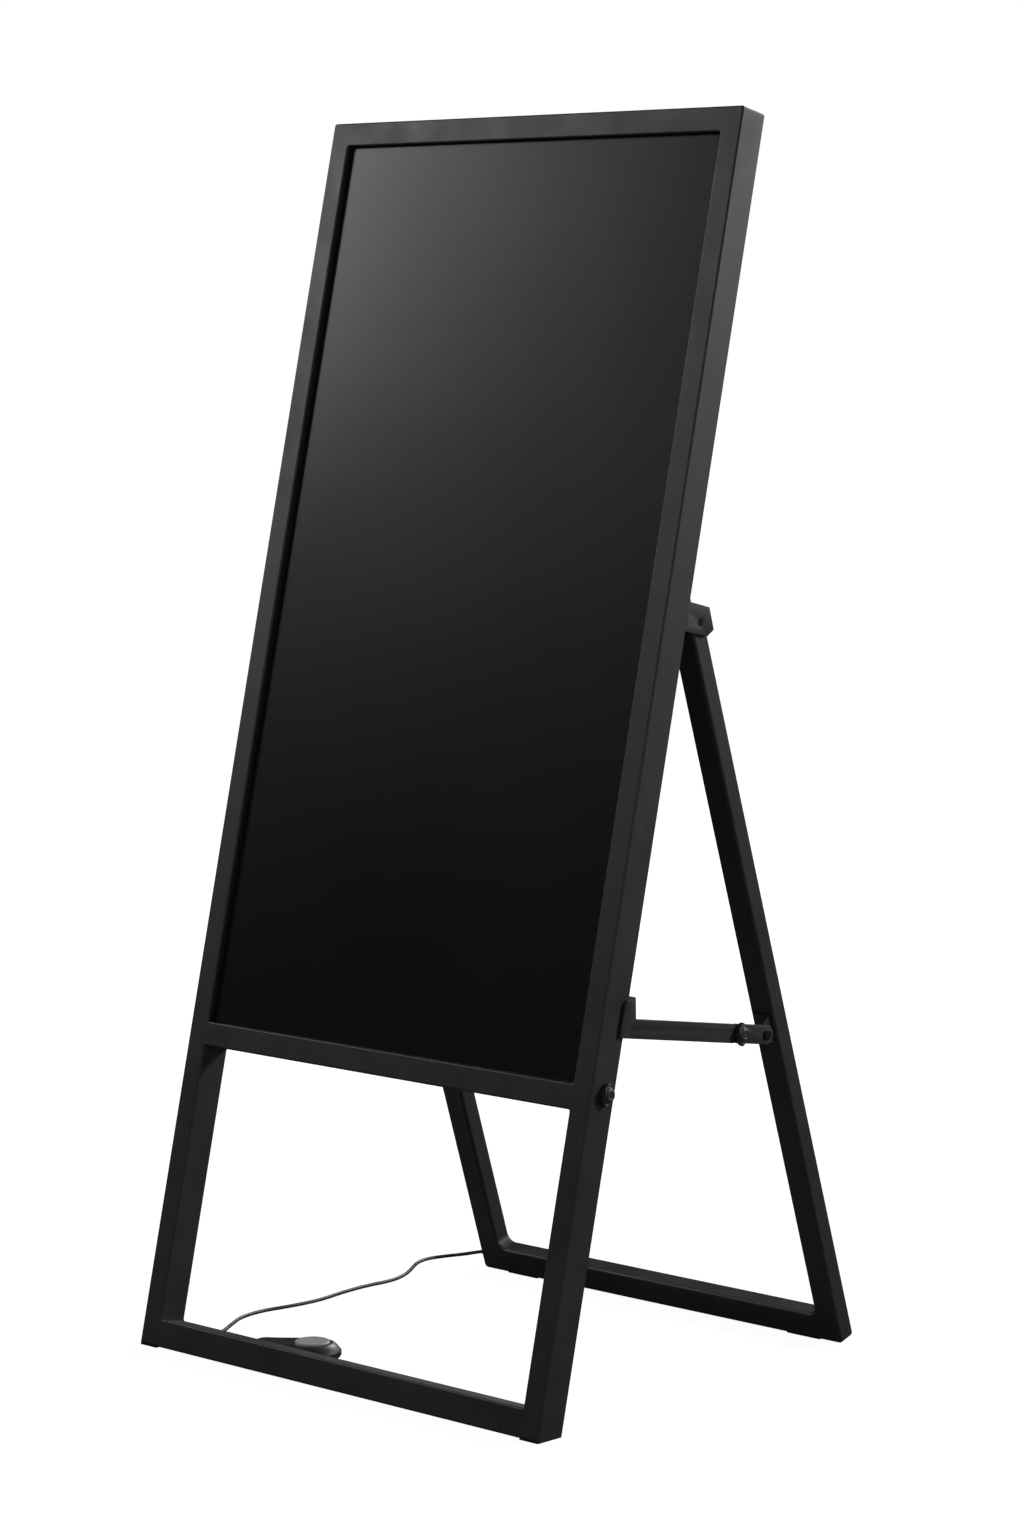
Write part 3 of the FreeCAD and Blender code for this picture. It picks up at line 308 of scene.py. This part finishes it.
# ---- screen --------------------------------------------------------------------------------
# A matt, etched cover glass in the upper opening, bedded on a black rubber gasket, with the
# LCD and its aluminium backlight tray behind it, held by steel tabs welded to the uprights.
screen_glass = surface_finish("screen_glass", (0.0066, 0.0066, 0.0068), (0.0080, 0.0080, 0.0083), 0.28,
                              specular=0.34, grain=0.0009, height=0.000004, broad=0.35,
                              sheen_change=0.015)
give_finish(screen_glass, "cover_glass")
soft_rubber = surface_finish("soft_rubber", (0.010, 0.010, 0.010), (0.022, 0.022, 0.021), 0.78, specular=0.3,
                             grain=0.0007, height=0.00006, broad=0.008)
give_finish(soft_rubber, "glass_gasket", "rear_glides")
give_finish(frame_coat, "screen_tabs")


def lined_finish(name, ground, line, cell, width, roughness, metallic=0.0):
    """A material ruled with a grid of fine lines: brick texture without offset, cells of cell
    metres and joints of width metres, over a ground colour that noise varies a little."""
    material = surface_finish(name, tuple(0.8 * c for c in ground), ground, roughness, metallic=metallic,
                              grain=cell[1], height=0.00002, broad=cell[0] * 3)
    nodes, links = material.node_tree.nodes, material.node_tree.links
    shader = nodes["Principled BSDF"]
    place = nodes["Texture Coordinate"]
    rules = nodes.new("ShaderNodeTexBrick")
    rules.offset = 0.0
    rules.inputs["Scale"].default_value = 1.0
    rules.inputs["Brick Width"].default_value = cell[0]
    rules.inputs["Row Height"].default_value = cell[1]
    rules.inputs["Mortar Size"].default_value = width
    rules.inputs["Mortar"].default_value = (*line, 1)
    upright = nodes.new("ShaderNodeMapping")
    upright.inputs["Rotation"].default_value = (math.pi / 2, 0, 0)
    links.new(place.outputs["Object"], upright.inputs["Vector"])
    links.new(upright.outputs["Vector"], rules.inputs["Vector"])
    tone = nodes["Color Ramp"]
    links.new(tone.outputs["Color"], rules.inputs["Color1"])
    links.new(tone.outputs["Color"], rules.inputs["Color2"])
    links.new(rules.outputs["Color"], shader.inputs["Base Color"])
    return material


lcd_cells = lined_finish("lcd_cells", (0.010, 0.011, 0.014), (0.003, 0.003, 0.003),
                         (0.0006, 0.0018), 0.00008, 0.3)
give_finish(lcd_cells, "lcd_panel")
pressed_aluminium = lined_finish("pressed_aluminium", (0.10, 0.10, 0.105), (0.07, 0.07, 0.075),
                                 (0.24, 0.0016), 0.0003, 0.6, metallic=1.0)
give_finish(pressed_aluminium, "backlight_tray")

# ---- rear cover and its screws -------------------------------------------------------------
# Pressed steel cover with a raised dome and rows of cooling slots, in a coarser textured black
# powder. Eight black socket screws hold its flange to the tabs.
cover_coat = surface_finish("cover_coat", (0.009, 0.009, 0.0095), (0.014, 0.014, 0.0145), 0.58, specular=0.4,
                            grain=0.0016, height=0.00014, broad=0.09)
give_finish(cover_coat, "rear_cover")

COVER_SCREW_X, COVER_FACE = 0.256, 0.0262
COVER_SCREW_SLOPES = (0.412, 0.6927, 0.9733, 1.254)
COVER_HEAD_R, COVER_HEAD_TALL, COVER_SOCKET = 0.0032, 0.002, 0.0025
SCREW_SIDES = 48


def socket_head(x, face, slope, radius, tall, socket):
    """A button-head screw with a six-sided socket, facing rearward. Down its profile the
    radius runs from the socket's floor, up its wall, over a crown and back to the seat; the
    socket's rows are drawn in to a hexagon of socket metres across the middle of its sides."""
    turn = np.linspace(0, 2 * math.pi, SCREW_SIDES, endpoint=False)
    six = 0.5 * socket / np.cos((turn + math.pi / 6) % (math.pi / 3) - math.pi / 6)
    bend = np.linspace(0, math.pi / 2, 9)
    crown_r = 0.55 * radius + 0.45 * radius * np.sin(bend)
    crown_y = tall * (0.35 + 0.65 * np.cos(bend))
    inside = [(0.0, 0.45), (0.98, 0.45), (1.0, 0.5), (1.0, 0.96), (1.08, 1.0)]
    outside = [*zip(crown_r, crown_y), (radius, 0.0), (0.0, 0.0)]
    rows = [np.stack([share * six, np.full(SCREW_SIDES, part * tall)], -1) for share, part in inside]
    rows += [np.stack([np.full(SCREW_SIDES, r), np.full(SCREW_SIDES, y)], -1) for r, y in outside]
    out, height = np.moveaxis(np.array(rows), -1, 0)
    points = np.stack([x + out * np.cos(turn), face + height, slope + out * np.sin(turn)], -1)
    return grid_mesh("screw", in_front_frame(points), around=True)


black_steel = surface_finish("black_steel", (0.018, 0.018, 0.019), (0.040, 0.040, 0.042), 0.36, metallic=0.9,
                             grain=0.0005, height=0.00001, broad=0.003, sheen_change=0.07)
add_piece("cover_screw_heads",
          [socket_head(side * COVER_SCREW_X, COVER_FACE, slope, COVER_HEAD_R, COVER_HEAD_TALL, COVER_SOCKET)
           for side in (-1, 1) for slope in COVER_SCREW_SLOPES],
          black_steel, "front_frame", "dark_fastener", "rear_cover_screws")

# ---- electronics inside the cover ----------------------------------------------------------
# Power supply and media player in galvanised cases, the panel's driver board, and two flat
# speakers in moulded boxes, all fixed to the back of the backlight tray.
galvanised = surface_finish("galvanised", (0.34, 0.36, 0.37), (0.60, 0.61, 0.62), 0.42, metallic=1.0,
                            grain=0.0012, height=0.00001, broad=0.012, sheen_change=0.1)
give_finish(galvanised, "power_supply", "media_player")
solder_mask = lined_finish("solder_mask", (0.015, 0.10, 0.035), (0.06, 0.22, 0.09),
                           (0.006, 0.0035), 0.0003, 0.35)
give_finish(solder_mask, "driver_board")
give_finish(plug_plastic, "speakers")

# ---- mains inlet and power rocker ----------------------------------------------------------
# A three-pin appliance inlet and a small rocker in its bezel, both snapped into the dome's
# lower wall. The moulding is satin black and the pins are brass.
inlet_plastic = surface_finish("inlet_plastic", (0.010, 0.010, 0.0105), (0.015, 0.015, 0.0155), 0.38,
                               grain=0.0007, height=0.00001, broad=0.012)
contact_brass = surface_finish("contact_brass", (0.62, 0.47, 0.22), (0.78, 0.62, 0.34), 0.28, metallic=1.0,
                               grain=0.0005, height=0.000006, broad=0.003)


def merged(node, flat_angle=0.0):
    """A new mesh of the CAD node's own form, its doubled corners joined, and faces that turn by
    less than flat_angle made one."""
    work = bmesh.new()
    work.from_mesh(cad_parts[node].data)
    bmesh.ops.remove_doubles(work, verts=work.verts, dist=1e-6)
    if flat_angle > 0:
        bmesh.ops.dissolve_limit(work, angle_limit=flat_angle, verts=work.verts, edges=work.edges)
    mesh = bpy.data.meshes.new(node)
    work.to_mesh(mesh)
    work.free()
    return mesh


def eased(node, edge, material, body, slot):
    """The CAD node's own form with its sharp edges rounded by edge metres: a bevel runs along
    every edge that turns by more than 30 degrees."""
    mesh = merged(node, math.radians(0.5))
    piece = add_piece(node + "_eased", [mesh], material, body, slot, node)
    rounding = piece.modifiers.new("rounding", "BEVEL")
    rounding.width = edge
    rounding.segments = 3
    rounding.limit_method = "ANGLE"
    rounding.angle_limit = math.radians(30)
    rounding.harden_normals = True
    return piece


for node in ("mains_inlet", "rocker_bezel"):
    eased(node, 0.0004, inlet_plastic, "front_frame", "black_plastic")
eased("power_rocker", 0.0006, inlet_plastic, "power_rocker", "black_plastic")
give_finish(contact_brass, "inlet_pins")

# ---- leg hinges ----------------------------------------------------------------------------
# Pressed steel hoods screwed to the backs of the uprights, each with two cheeks that carry the
# leg's pin. They have the frame's coat and rounded edges.
HOOD_SCREW_X = 0.279
HOOD_FACE, SADDLE_FACE = 0.0375, 0.038
HOOD_SCREW_SLOPES, SADDLE_SCREW_SLOPES = (0.8225, 0.838), (0.412, 0.433)
BRACKET_HEAD_R, BRACKET_HEAD_TALL, BRACKET_SOCKET = 0.0046, 0.0026, 0.003

for side in ("left", "right"):
    eased("hinge_hood_" + side, 0.0009, frame_coat, "front_frame", "frame_coat")
give_finish(black_steel, "hinge_pins")
bracket_heads = [
    socket_head(side * HOOD_SCREW_X, face, slope, BRACKET_HEAD_R, BRACKET_HEAD_TALL, BRACKET_SOCKET)
    for side in (-1, 1)
    for face, slopes in ((HOOD_FACE, HOOD_SCREW_SLOPES), (SADDLE_FACE, SADDLE_SCREW_SLOPES))
    for slope in slopes
]
add_piece("bracket_screw_heads", bracket_heads, black_steel, "front_frame", "dark_fastener", "bracket_screws")

# ---- rear leg frame ------------------------------------------------------------------------
# Two legs and a foot bar of square tube, mitred and welded, in the frame's coat. Each leg has
# a plastic bush for the hinge pin, a plastic cap, and a rubber glide under the bar.
SPLAY = math.radians(17.9)
STANCE = 0.50976
LUG_LOW, LUG_HIGH = 0.3598, 0.3918
LUG_EDGES = (0.240, 0.2568)
BEAD_SEAT = -0.0005          # the lugs' beads sit half a millimetre in front of the legs


def in_leg_frame(points):
    """Points given across, back from the legs' front faces and up the legs, set in the scene."""
    x, y, z = np.moveaxis(np.asarray(points, float), -1, 0)
    back = STANCE + FRONT_EDGE + y * math.cos(SPLAY) - z * math.sin(SPLAY)
    up = z * math.cos(SPLAY) + y * math.sin(SPLAY) + GLIDE
    return np.stack([x, back, up], -1)


give_finish(frame_coat, "leg_left", "leg_right", "foot_bar")
bush_plastic = surface_finish("bush_plastic", (0.55, 0.54, 0.50), (0.66, 0.65, 0.61), 0.45,
                              grain=0.0006, height=0.00001, broad=0.01)
give_finish(bush_plastic, "hinge_bushes")
lug_beads = [
    weld_bead((side * edge, BEAD_SEAT, LUG_LOW), (side * edge, BEAD_SEAT, LUG_HIGH), in_leg_frame)
    for side in (-1, 1) for edge in LUG_EDGES
]
add_piece("lug_weld_beads", lug_beads, frame_coat, "rear_legs", "frame_coat")

# ---- stays ---------------------------------------------------------------------------------
# A flat steel stay on each side: a long arm pinned to a saddle on the upright, hooked over a
# stud in the short arm that is pinned to the leg's welded lug. All have the frame's coat.
for side in ("left", "right"):
    eased("stay_saddle_" + side, 0.0007, frame_coat, "front_frame", "frame_coat")
    eased("stay_lug_" + side, 0.0006, frame_coat, "rear_legs", "frame_coat")
    eased("stay_long_arm_" + side, 0.0006, frame_coat, "stay_long_arm_" + side, "frame_coat")
    eased("stay_short_arm_" + side, 0.0006, frame_coat, "stay_short_arm_" + side, "frame_coat")
give_finish(black_steel, "stay_front_rivets", "stay_rear_rivets")

# ---- wing knobs and their studs ------------------------------------------------------------
# Moulded black wing knobs on zinc plated studs: one locks each stay, and one on each side of
# the frame runs into the middle rail. Hub, dished end and two pointed wings are one moulding.
KNOB_LONG, KNOB_WIDE = 0.0125, 0.0074        # from the axis to a wing's tip and to the flank
HUB_R, HUB_TALL = 0.0064, 0.0080
WING_TALL = 0.0049
DISH_R, DISH_DEEP = 0.0044, 0.0005
KNOB_EDGE = 0.0013
KNOB_POWER = 1.75


def smooth_step(low, high, value):
    """0 below low, 1 above high, and an even S between."""
    t = np.clip((value - low) / (high - low), 0, 1)
    return t * t * (3 - 2 * t)


def wing_knob(node, tilt):
    """A knob on the x axis of its CAD node's box. Around the axis its edge is the super-ellipse
    (|cos|/long)^p + (|sin|/wide)^p = radius^-p, pointed at the wings. Out from the axis its face is
    a shallow dish, the hub's rim, a smooth fall to the wings, and a rounded edge to a flat back."""
    low, high = (np.array(corner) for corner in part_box(node))
    outward = 1.0 if low[0] > 0 else -1.0
    seat = low[0] if outward > 0 else high[0]
    _, mid_y, mid_z = (low + high) / 2
    turn = np.linspace(0, 2 * math.pi, 96, endpoint=False)
    long_part = np.abs(np.cos(turn) / KNOB_LONG) ** KNOB_POWER
    wide_part = np.abs(np.sin(turn) / KNOB_WIDE) ** KNOB_POWER
    edge = (long_part + wide_part) ** (-1 / KNOB_POWER)
    share = np.linspace(0, 1, 44)[:, None]
    flat = share * (edge - KNOB_EDGE)
    rim = HUB_TALL - 0.0008 * smooth_step(HUB_R - 0.0018, HUB_R, flat)
    dish = DISH_DEEP * (1 - smooth_step(DISH_R - 0.0012, DISH_R, flat))
    ribs = 0.00018 * np.cos(flat / 0.0016 * 2 * math.pi) * smooth_step(0.0085, 0.0092, flat)
    face = rim - dish + (WING_TALL - rim) * smooth_step(HUB_R - 0.0004, HUB_R + 0.0016, flat) + ribs
    bend = np.linspace(0, math.pi / 2, 8)[1:, None]
    over = edge - KNOB_EDGE * (1 - np.sin(bend))
    fall = face[-1] - KNOB_EDGE * (1 - np.cos(bend))
    wall = (edge - 0.0003)[None]
    back = np.array([0.97, 0.6, 0.0])[:, None] * edge
    radius = np.concatenate([flat, over, wall, back])
    height = np.concatenate([face, fall, np.full_like(wall, 0.0009), np.full_like(back, 0.0004)])
    up = radius * np.cos(turn)
    across = radius * np.sin(turn)
    y = mid_y + across * math.cos(tilt) + up * math.sin(tilt)
    z = mid_z + up * math.cos(tilt) - across * math.sin(tilt)
    return grid_mesh(node, np.stack([seat + outward * height, y, z], -1), around=True)


knob_plastic = surface_finish("knob_plastic", (0.030, 0.030, 0.0305), (0.042, 0.042, 0.0425), 0.44,
                              grain=0.0006, height=0.000006, broad=0.006)
for side in ("left", "right"):
    add_piece("stay_wing_knob_" + side, [wing_knob("stay_knob_" + side, 0.0)], knob_plastic,
              "stay_knob_" + side, "black_plastic", "stay_knob_" + side)
    add_piece("side_wing_knob_" + side, [wing_knob("side_knob_" + side, LEAN)], knob_plastic,
              "side_knob_" + side, "black_plastic", "side_knob_" + side)
    give_finish(plated_steel, "clamp_stud_" + side, "side_stud_" + side)

# ---- foot switch ---------------------------------------------------------------------------
# A tread switch on the floor: rubber pad, base plate, a drop-shaped moulded shell that slopes
# down to its tail, and a round grey button that rises through it.
SWITCH_AT = np.array((-0.119, 0.091 + FRONT_EDGE))
SWITCH_HEADING = math.radians(19.0)
NOSE_R, TAIL_R, TAIL_AT = 0.031, 0.0085, -0.064
SHELL_NOSE_TOP, SHELL_TAIL_TOP = 0.0155, 0.0125
SHELL_LOW, SHELL_WALL = 0.004, 0.0016
ROLL_IN, ROLL_SHARE = 0.0103, 0.80     # how far in the top's falling edge starts, and its drop
FALL_POWER = 1.7
BUTTON_HOLE_R, BUTTON_R = 0.0194, 0.0190
LIP_R = 0.0009                         # the rounded lip of the button's hole
BUTTON_TOP, BUTTON_LOW, BUTTON_DISH = 0.0168, 0.0096, 0.0006
BUTTON_EDGE = 0.0018
CROWN = 0.0006                         # how far the shell's top stands up along its middle


def by_the_switch(x, y, z):
    """Points given along the switch's length, across it and up, set on the floor."""
    turn = SWITCH_HEADING
    return np.stack([
        SWITCH_AT[0] + x * math.cos(turn) - y * math.sin(turn),
        SWITCH_AT[1] + x * math.sin(turn) + y * math.cos(turn),
        np.broadcast_to(z, np.shape(x)),
    ], -1)


def half_width(x):
    """Half the shell's width at x: the nose's circle, then a flank that flows in with an S to
    the tail's circle."""
    join = -0.005
    body = math.sqrt(NOSE_R**2 - join**2)
    u = np.clip((x - TAIL_AT) / (join - TAIL_AT), 0, 1)
    flank = TAIL_R + (body - TAIL_R) * (0.435 * u + 0.565 * u * u * (3 - 2 * u))
    nose = np.sqrt(np.clip(NOSE_R**2 - x**2, 0, None))
    tail = np.sqrt(np.clip(TAIL_R**2 - (x - TAIL_AT) ** 2, 0, None))
    return np.where(x > join, nose, np.where(x > TAIL_AT, flank, tail))


def shell_outline(count):
    """The shell's edge, count points apart by equal lengths. On each ray from the button's
    centre the edge is where the ray's side distance reaches half_width, found by halving."""
    turn = np.linspace(0, 2 * math.pi, 1441)
    near, far = np.zeros_like(turn), np.full_like(turn, 0.09)
    for _ in range(40):
        mid = (near + far) / 2
        inside = np.abs(mid * np.sin(turn)) < half_width(mid * np.cos(turn))
        near, far = np.where(inside, mid, near), np.where(inside, far, mid)
    edge = np.stack([near * np.cos(turn), near * np.sin(turn)], -1)
    run = np.concatenate([[0], np.cumsum(np.linalg.norm(np.diff(edge, axis=0), axis=1))])
    even = np.linspace(0, run[-1], count, endpoint=False)
    return np.stack([np.interp(even, run, edge[:, 0]), np.interp(even, run, edge[:, 1])], -1)


def shell_top(x):
    """The shell's height at x, a straight slope from nose to tail."""
    share = (x - TAIL_AT + TAIL_R) / (NOSE_R - TAIL_AT + TAIL_R)
    return SHELL_TAIL_TOP + (SHELL_NOSE_TOP - SHELL_TAIL_TOP) * share


def switch_shell():
    """The shell as a ring-shaped sheet with thickness: from the button's hole out over a top
    that falls away by the 1.7th power of the way to the edge, to a low wall, and back
    along the inside."""
    edge = shell_outline(176)
    away = np.linalg.norm(edge, axis=1, keepdims=True)
    hole = edge / away * BUTTON_HOLE_R
    span = (away - BUTTON_HOLE_R)[:, 0]
    lip = np.linspace(0, math.pi / 2, 5)
    falls = np.linspace(0, 1, 13)
    fall_deep = ROLL_SHARE * (shell_top(edge[:, 0]) - SHELL_LOW)
    rows = []
    for inset, drop in zip(LIP_R * (1 - np.cos(lip)), LIP_R * (1 - np.sin(lip))):
        rows.append((np.full_like(span, inset), np.full_like(span, -drop), False))
    for share in np.linspace(0.08, 1.0, 10):
        rows.append((LIP_R + (span - ROLL_IN - LIP_R) * share, np.zeros_like(span), False))
    for share in falls[1:]:
        rows.append((span - ROLL_IN * (1 - share), -fall_deep * share**FALL_POWER, False))
    rows.append((span, np.full_like(span, SHELL_LOW), True))
    rows.append((span - SHELL_WALL, np.full_like(span, SHELL_LOW), True))
    for share in falls[-3:1:-3]:
        inset, drop = ROLL_IN * (1 - share), fall_deep * share**FALL_POWER
        rows.append((np.maximum(span - SHELL_WALL - inset, 0.0005), -SHELL_WALL - drop, False))
    rows.append((np.full_like(span, 0.0), np.full_like(span, -SHELL_WALL), False))
    grid = []
    for reach, drop, level in rows:
        place = hole + (edge - hole) * (reach / span)[:, None]
        crown = CROWN * np.clip(1 - (place[:, 1] / NOSE_R) ** 2, 0, 1) - CROWN
        height = drop if level else shell_top(place[:, 0]) + crown + drop
        grid.append(by_the_switch(place[:, 0], place[:, 1], height))
    return grid_mesh("switch_shell", np.array(grid), around=True, along=True)


def turned(profile, centre, along, sides=64):
    """A profile of (distance, radius) rows turned about the line from centre along a direction."""
    profile = np.asarray(profile, float)
    along = np.asarray(along, float) / np.linalg.norm(along)
    side = np.cross(along, (0.0, 0.0, 1.0)) if abs(along[2]) < 0.9 else np.array((1.0, 0.0, 0.0))
    side /= np.linalg.norm(side)
    other = np.cross(along, side)
    turn = np.linspace(0, 2 * math.pi, sides, endpoint=False)
    ring = np.cos(turn)[:, None] * side + np.sin(turn)[:, None] * other
    return np.asarray(centre) + profile[:, None, :1] * along + profile[:, None, 1:] * ring


def button_profile():
    """Up the button's axis: a dished top, a quarter-round edge, the wall, the retaining rim
    and the underside."""
    radius = np.linspace(0, BUTTON_R - BUTTON_EDGE, 14)
    dish = BUTTON_TOP - 0.0002 - BUTTON_DISH * (1 - (radius / radius[-1]) ** 2)
    bend = np.linspace(0, math.pi / 2, 9)[1:]
    top = np.stack([dish, radius], -1)
    edge_r = BUTTON_R - BUTTON_EDGE * (1 - np.sin(bend))
    edge_z = dish[-1] - BUTTON_EDGE * (1 - np.cos(bend))
    rim = [(BUTTON_LOW, BUTTON_R), (BUTTON_LOW - 0.0002, BUTTON_R + 0.0018),
           (0.0082, BUTTON_R + 0.0018), (0.0080, BUTTON_R - 0.0024),
           (BUTTON_TOP - 0.004, BUTTON_R - 0.0026), (BUTTON_TOP - 0.004, 0.0)]
    return np.concatenate([top, np.stack([edge_z, edge_r], -1), rim])


shell_plastic = surface_finish("shell_plastic", (0.016, 0.016, 0.0165), (0.026, 0.026, 0.0265), 0.46,
                               grain=0.0006, height=0.000008, broad=0.01)
button_plastic = surface_finish("button_plastic", (0.36, 0.36, 0.365), (0.42, 0.42, 0.425), 0.45,
                                grain=0.0005, height=0.00002, broad=0.01)
SWITCH_CENTRE = (SWITCH_AT[0], SWITCH_AT[1], 0.0)
add_piece("switch_shell", [switch_shell()], shell_plastic, "front_frame", "switch_plastic",
          "foot_switch_housing")
button_points = turned(button_profile(), SWITCH_CENTRE, (0, 0, 1), 96)
add_piece("switch_button", [grid_mesh("button", button_points, around=True)], button_plastic,
          "foot_switch_button", "button_plastic", "foot_switch_button")
eased("foot_switch_base", 0.0004, shell_plastic, "front_frame", "switch_plastic")
give_finish(soft_rubber, "foot_switch_pad")
give_finish(plug_plastic, "foot_switch_contacts")
spring = add_piece("switch_spring", [merged("foot_switch_spring")], plated_steel, "front_frame",
                   "hardware_steel", "foot_switch_spring")
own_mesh(spring)

# ---- strain relief and grommet -------------------------------------------------------------
# Soft black sleeves where the lead ends: a ribbed taper moulded on the switch's tail, and a
# flanged grommet with a short nose in the left leg's outer wall.
RELIEF_Z, RELIEF_ROOT = 0.0073, -0.0727
GROMMET_WALL = -0.264
GROMMET_UP, LEG_MIDDLE = 0.014, 0.011
LEAD_R = 0.002
LEAD_HOLE_R = LEAD_R + 0.00002


def relief_profile():
    """Along the sleeve: a collar inside the shell, then a taper from 3.8 to 2.7 mm with four
    rounded grooves cut as a raised cosine, and a rolled end down to the lead."""
    s = np.linspace(0, 0.014, 113)
    taper = 0.0038 - (0.0038 - 0.0027) * s / 0.014
    groove = np.zeros_like(s)
    for step in range(4):
        middle = 0.0028 + 0.0026 * step
        groove += 0.0007 * np.clip(1 - np.abs(s - middle) / 0.0008, 0, 1) ** 0.7
    body = np.stack([s, taper - groove], -1)
    end = [(0.0143, 0.0024), (0.0143, LEAD_HOLE_R), (-0.005, LEAD_HOLE_R), (-0.005, 0.0031),
           (-0.0002, 0.0031), (0.0, 0.0037)]
    return np.concatenate([body, end])


def grommet_profile():
    """Along the grommet: inner flange, the waist in the leg's wall, outer flange, tapered nose."""
    return [(-0.0030, LEAD_HOLE_R), (-0.0030, 0.0060), (-0.0027, 0.0065), (-0.0016, 0.0065),
            (-0.0015, 0.0050), (0.0, 0.0050), (0.0, 0.0073), (0.0004, 0.0075), (0.0010, 0.0074),
            (0.0015, 0.0068), (0.0017, 0.0052), (0.0024, 0.0045), (0.0075, 0.0034), (0.0080, 0.0031),
            (0.0080, LEAD_HOLE_R)]


toward_tail = (-math.cos(SWITCH_HEADING), -math.sin(SWITCH_HEADING), 0.0)
relief_root = by_the_switch(np.array([RELIEF_ROOT]), np.array([0.0]), RELIEF_Z)[0]
relief_points = turned(relief_profile(), relief_root, toward_tail, 32)
add_piece("switch_relief", [grid_mesh("relief", relief_points, around=True, along=True)],
          soft_rubber, "front_frame", "soft_rubber", "foot_switch_relief")
grommet_root = in_leg_frame((GROMMET_WALL, LEG_MIDDLE, GROMMET_UP))
grommet_points = turned(grommet_profile(), grommet_root, (-1, 0, 0), 48)
add_piece("leg_grommet", [grid_mesh("grommet", grommet_points, around=True, along=True)],
          soft_rubber, "rear_legs", "soft_rubber", "lead_grommet")

# ---- lead ----------------------------------------------------------------------------------
# The foot switch's lead: a 4 mm round black sheath that leaves the left leg near its foot and
# lies on the floor in loose curves as far as the switch.
LEAD_ROUTE = (
    (-0.2725, 0.5159, 0.0177),
    (-0.2880, 0.5190, 0.0136),
    (-0.3040, 0.5215, 0.0090),
    (-0.3220, 0.5225, 0.0046),
    (-0.3370, 0.5110, 0.0021),
    (-0.3415, 0.4910, 0.0021),
    (-0.3340, 0.4680, 0.0021),
    (-0.3180, 0.4440, 0.0021),
    (-0.3020, 0.4170, 0.0021),
    (-0.2930, 0.3860, 0.0021),
    (-0.2970, 0.3500, 0.0021),
    (-0.2940, 0.3080, 0.0021),
    (-0.2860, 0.2660, 0.0021),
    (-0.2890, 0.2240, 0.0021),
    (-0.2970, 0.1870, 0.0021),
    (-0.2930, 0.1510, 0.0021),
    (-0.2770, 0.1220, 0.0021),
    (-0.2620, 0.0970, 0.0021),
    (-0.2520, 0.0730, 0.0021),
    (-0.2370, 0.0580, 0.0026),
    (-0.2180, 0.0566, 0.0050),
    (-0.2011, 0.0627, 0.0073),
)


def lead_points(route):
    """The quadratic NURBS line through the floor route, as an array of points."""
    data = bpy.data.curves.new("lead_route", "CURVE")
    data.dimensions = "3D"
    line = data.splines.new("NURBS")
    line.points.add(len(route) - 1)
    for point, (x, y, z) in zip(line.points, route):
        point.co = (x, y + FRONT_EDGE, z, 1)
    line.order_u = 3
    line.use_endpoint_u = True
    line.resolution_u = 12
    holder = bpy.data.objects.new("lead_route", data)
    bpy.context.scene.collection.objects.link(holder)
    mesh = bpy.data.meshes.new_from_object(holder)
    points = np.empty(len(mesh.vertices) * 3, np.float32)
    mesh.vertices.foreach_get("co", points)
    bpy.data.objects.remove(holder)
    return points.reshape(-1, 3).astype(float)


def round_tube(path, radius, sides):
    """Rings of sides points at radius round a path, square to it, with an upright reference."""
    way = np.gradient(path, axis=0)
    way /= np.linalg.norm(way, axis=1)[:, None]
    side = np.cross(way, (0, 0, 1.0))
    side /= np.linalg.norm(side, axis=1)[:, None]
    up = np.cross(side, way)
    turn = np.linspace(0, 2 * math.pi, sides, endpoint=False)
    ring = side[:, None] * np.cos(turn)[None, :, None] + up[:, None] * np.sin(turn)[None, :, None]
    return path[:, None] + ring * radius


lead_line = lead_points(LEAD_ROUTE)
lead_sheath = surface_finish("lead_sheath", (0.010, 0.010, 0.0105), (0.017, 0.017, 0.0175), 0.42,
                             grain=0.0006, height=0.00002, broad=0.02)
lead = add_piece("lead", [grid_mesh("lead", round_tube(lead_line, LEAD_R, 16), around=True)],
                 lead_sheath, None, "lead_sheath")
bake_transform(lead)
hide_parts("switch_lead")
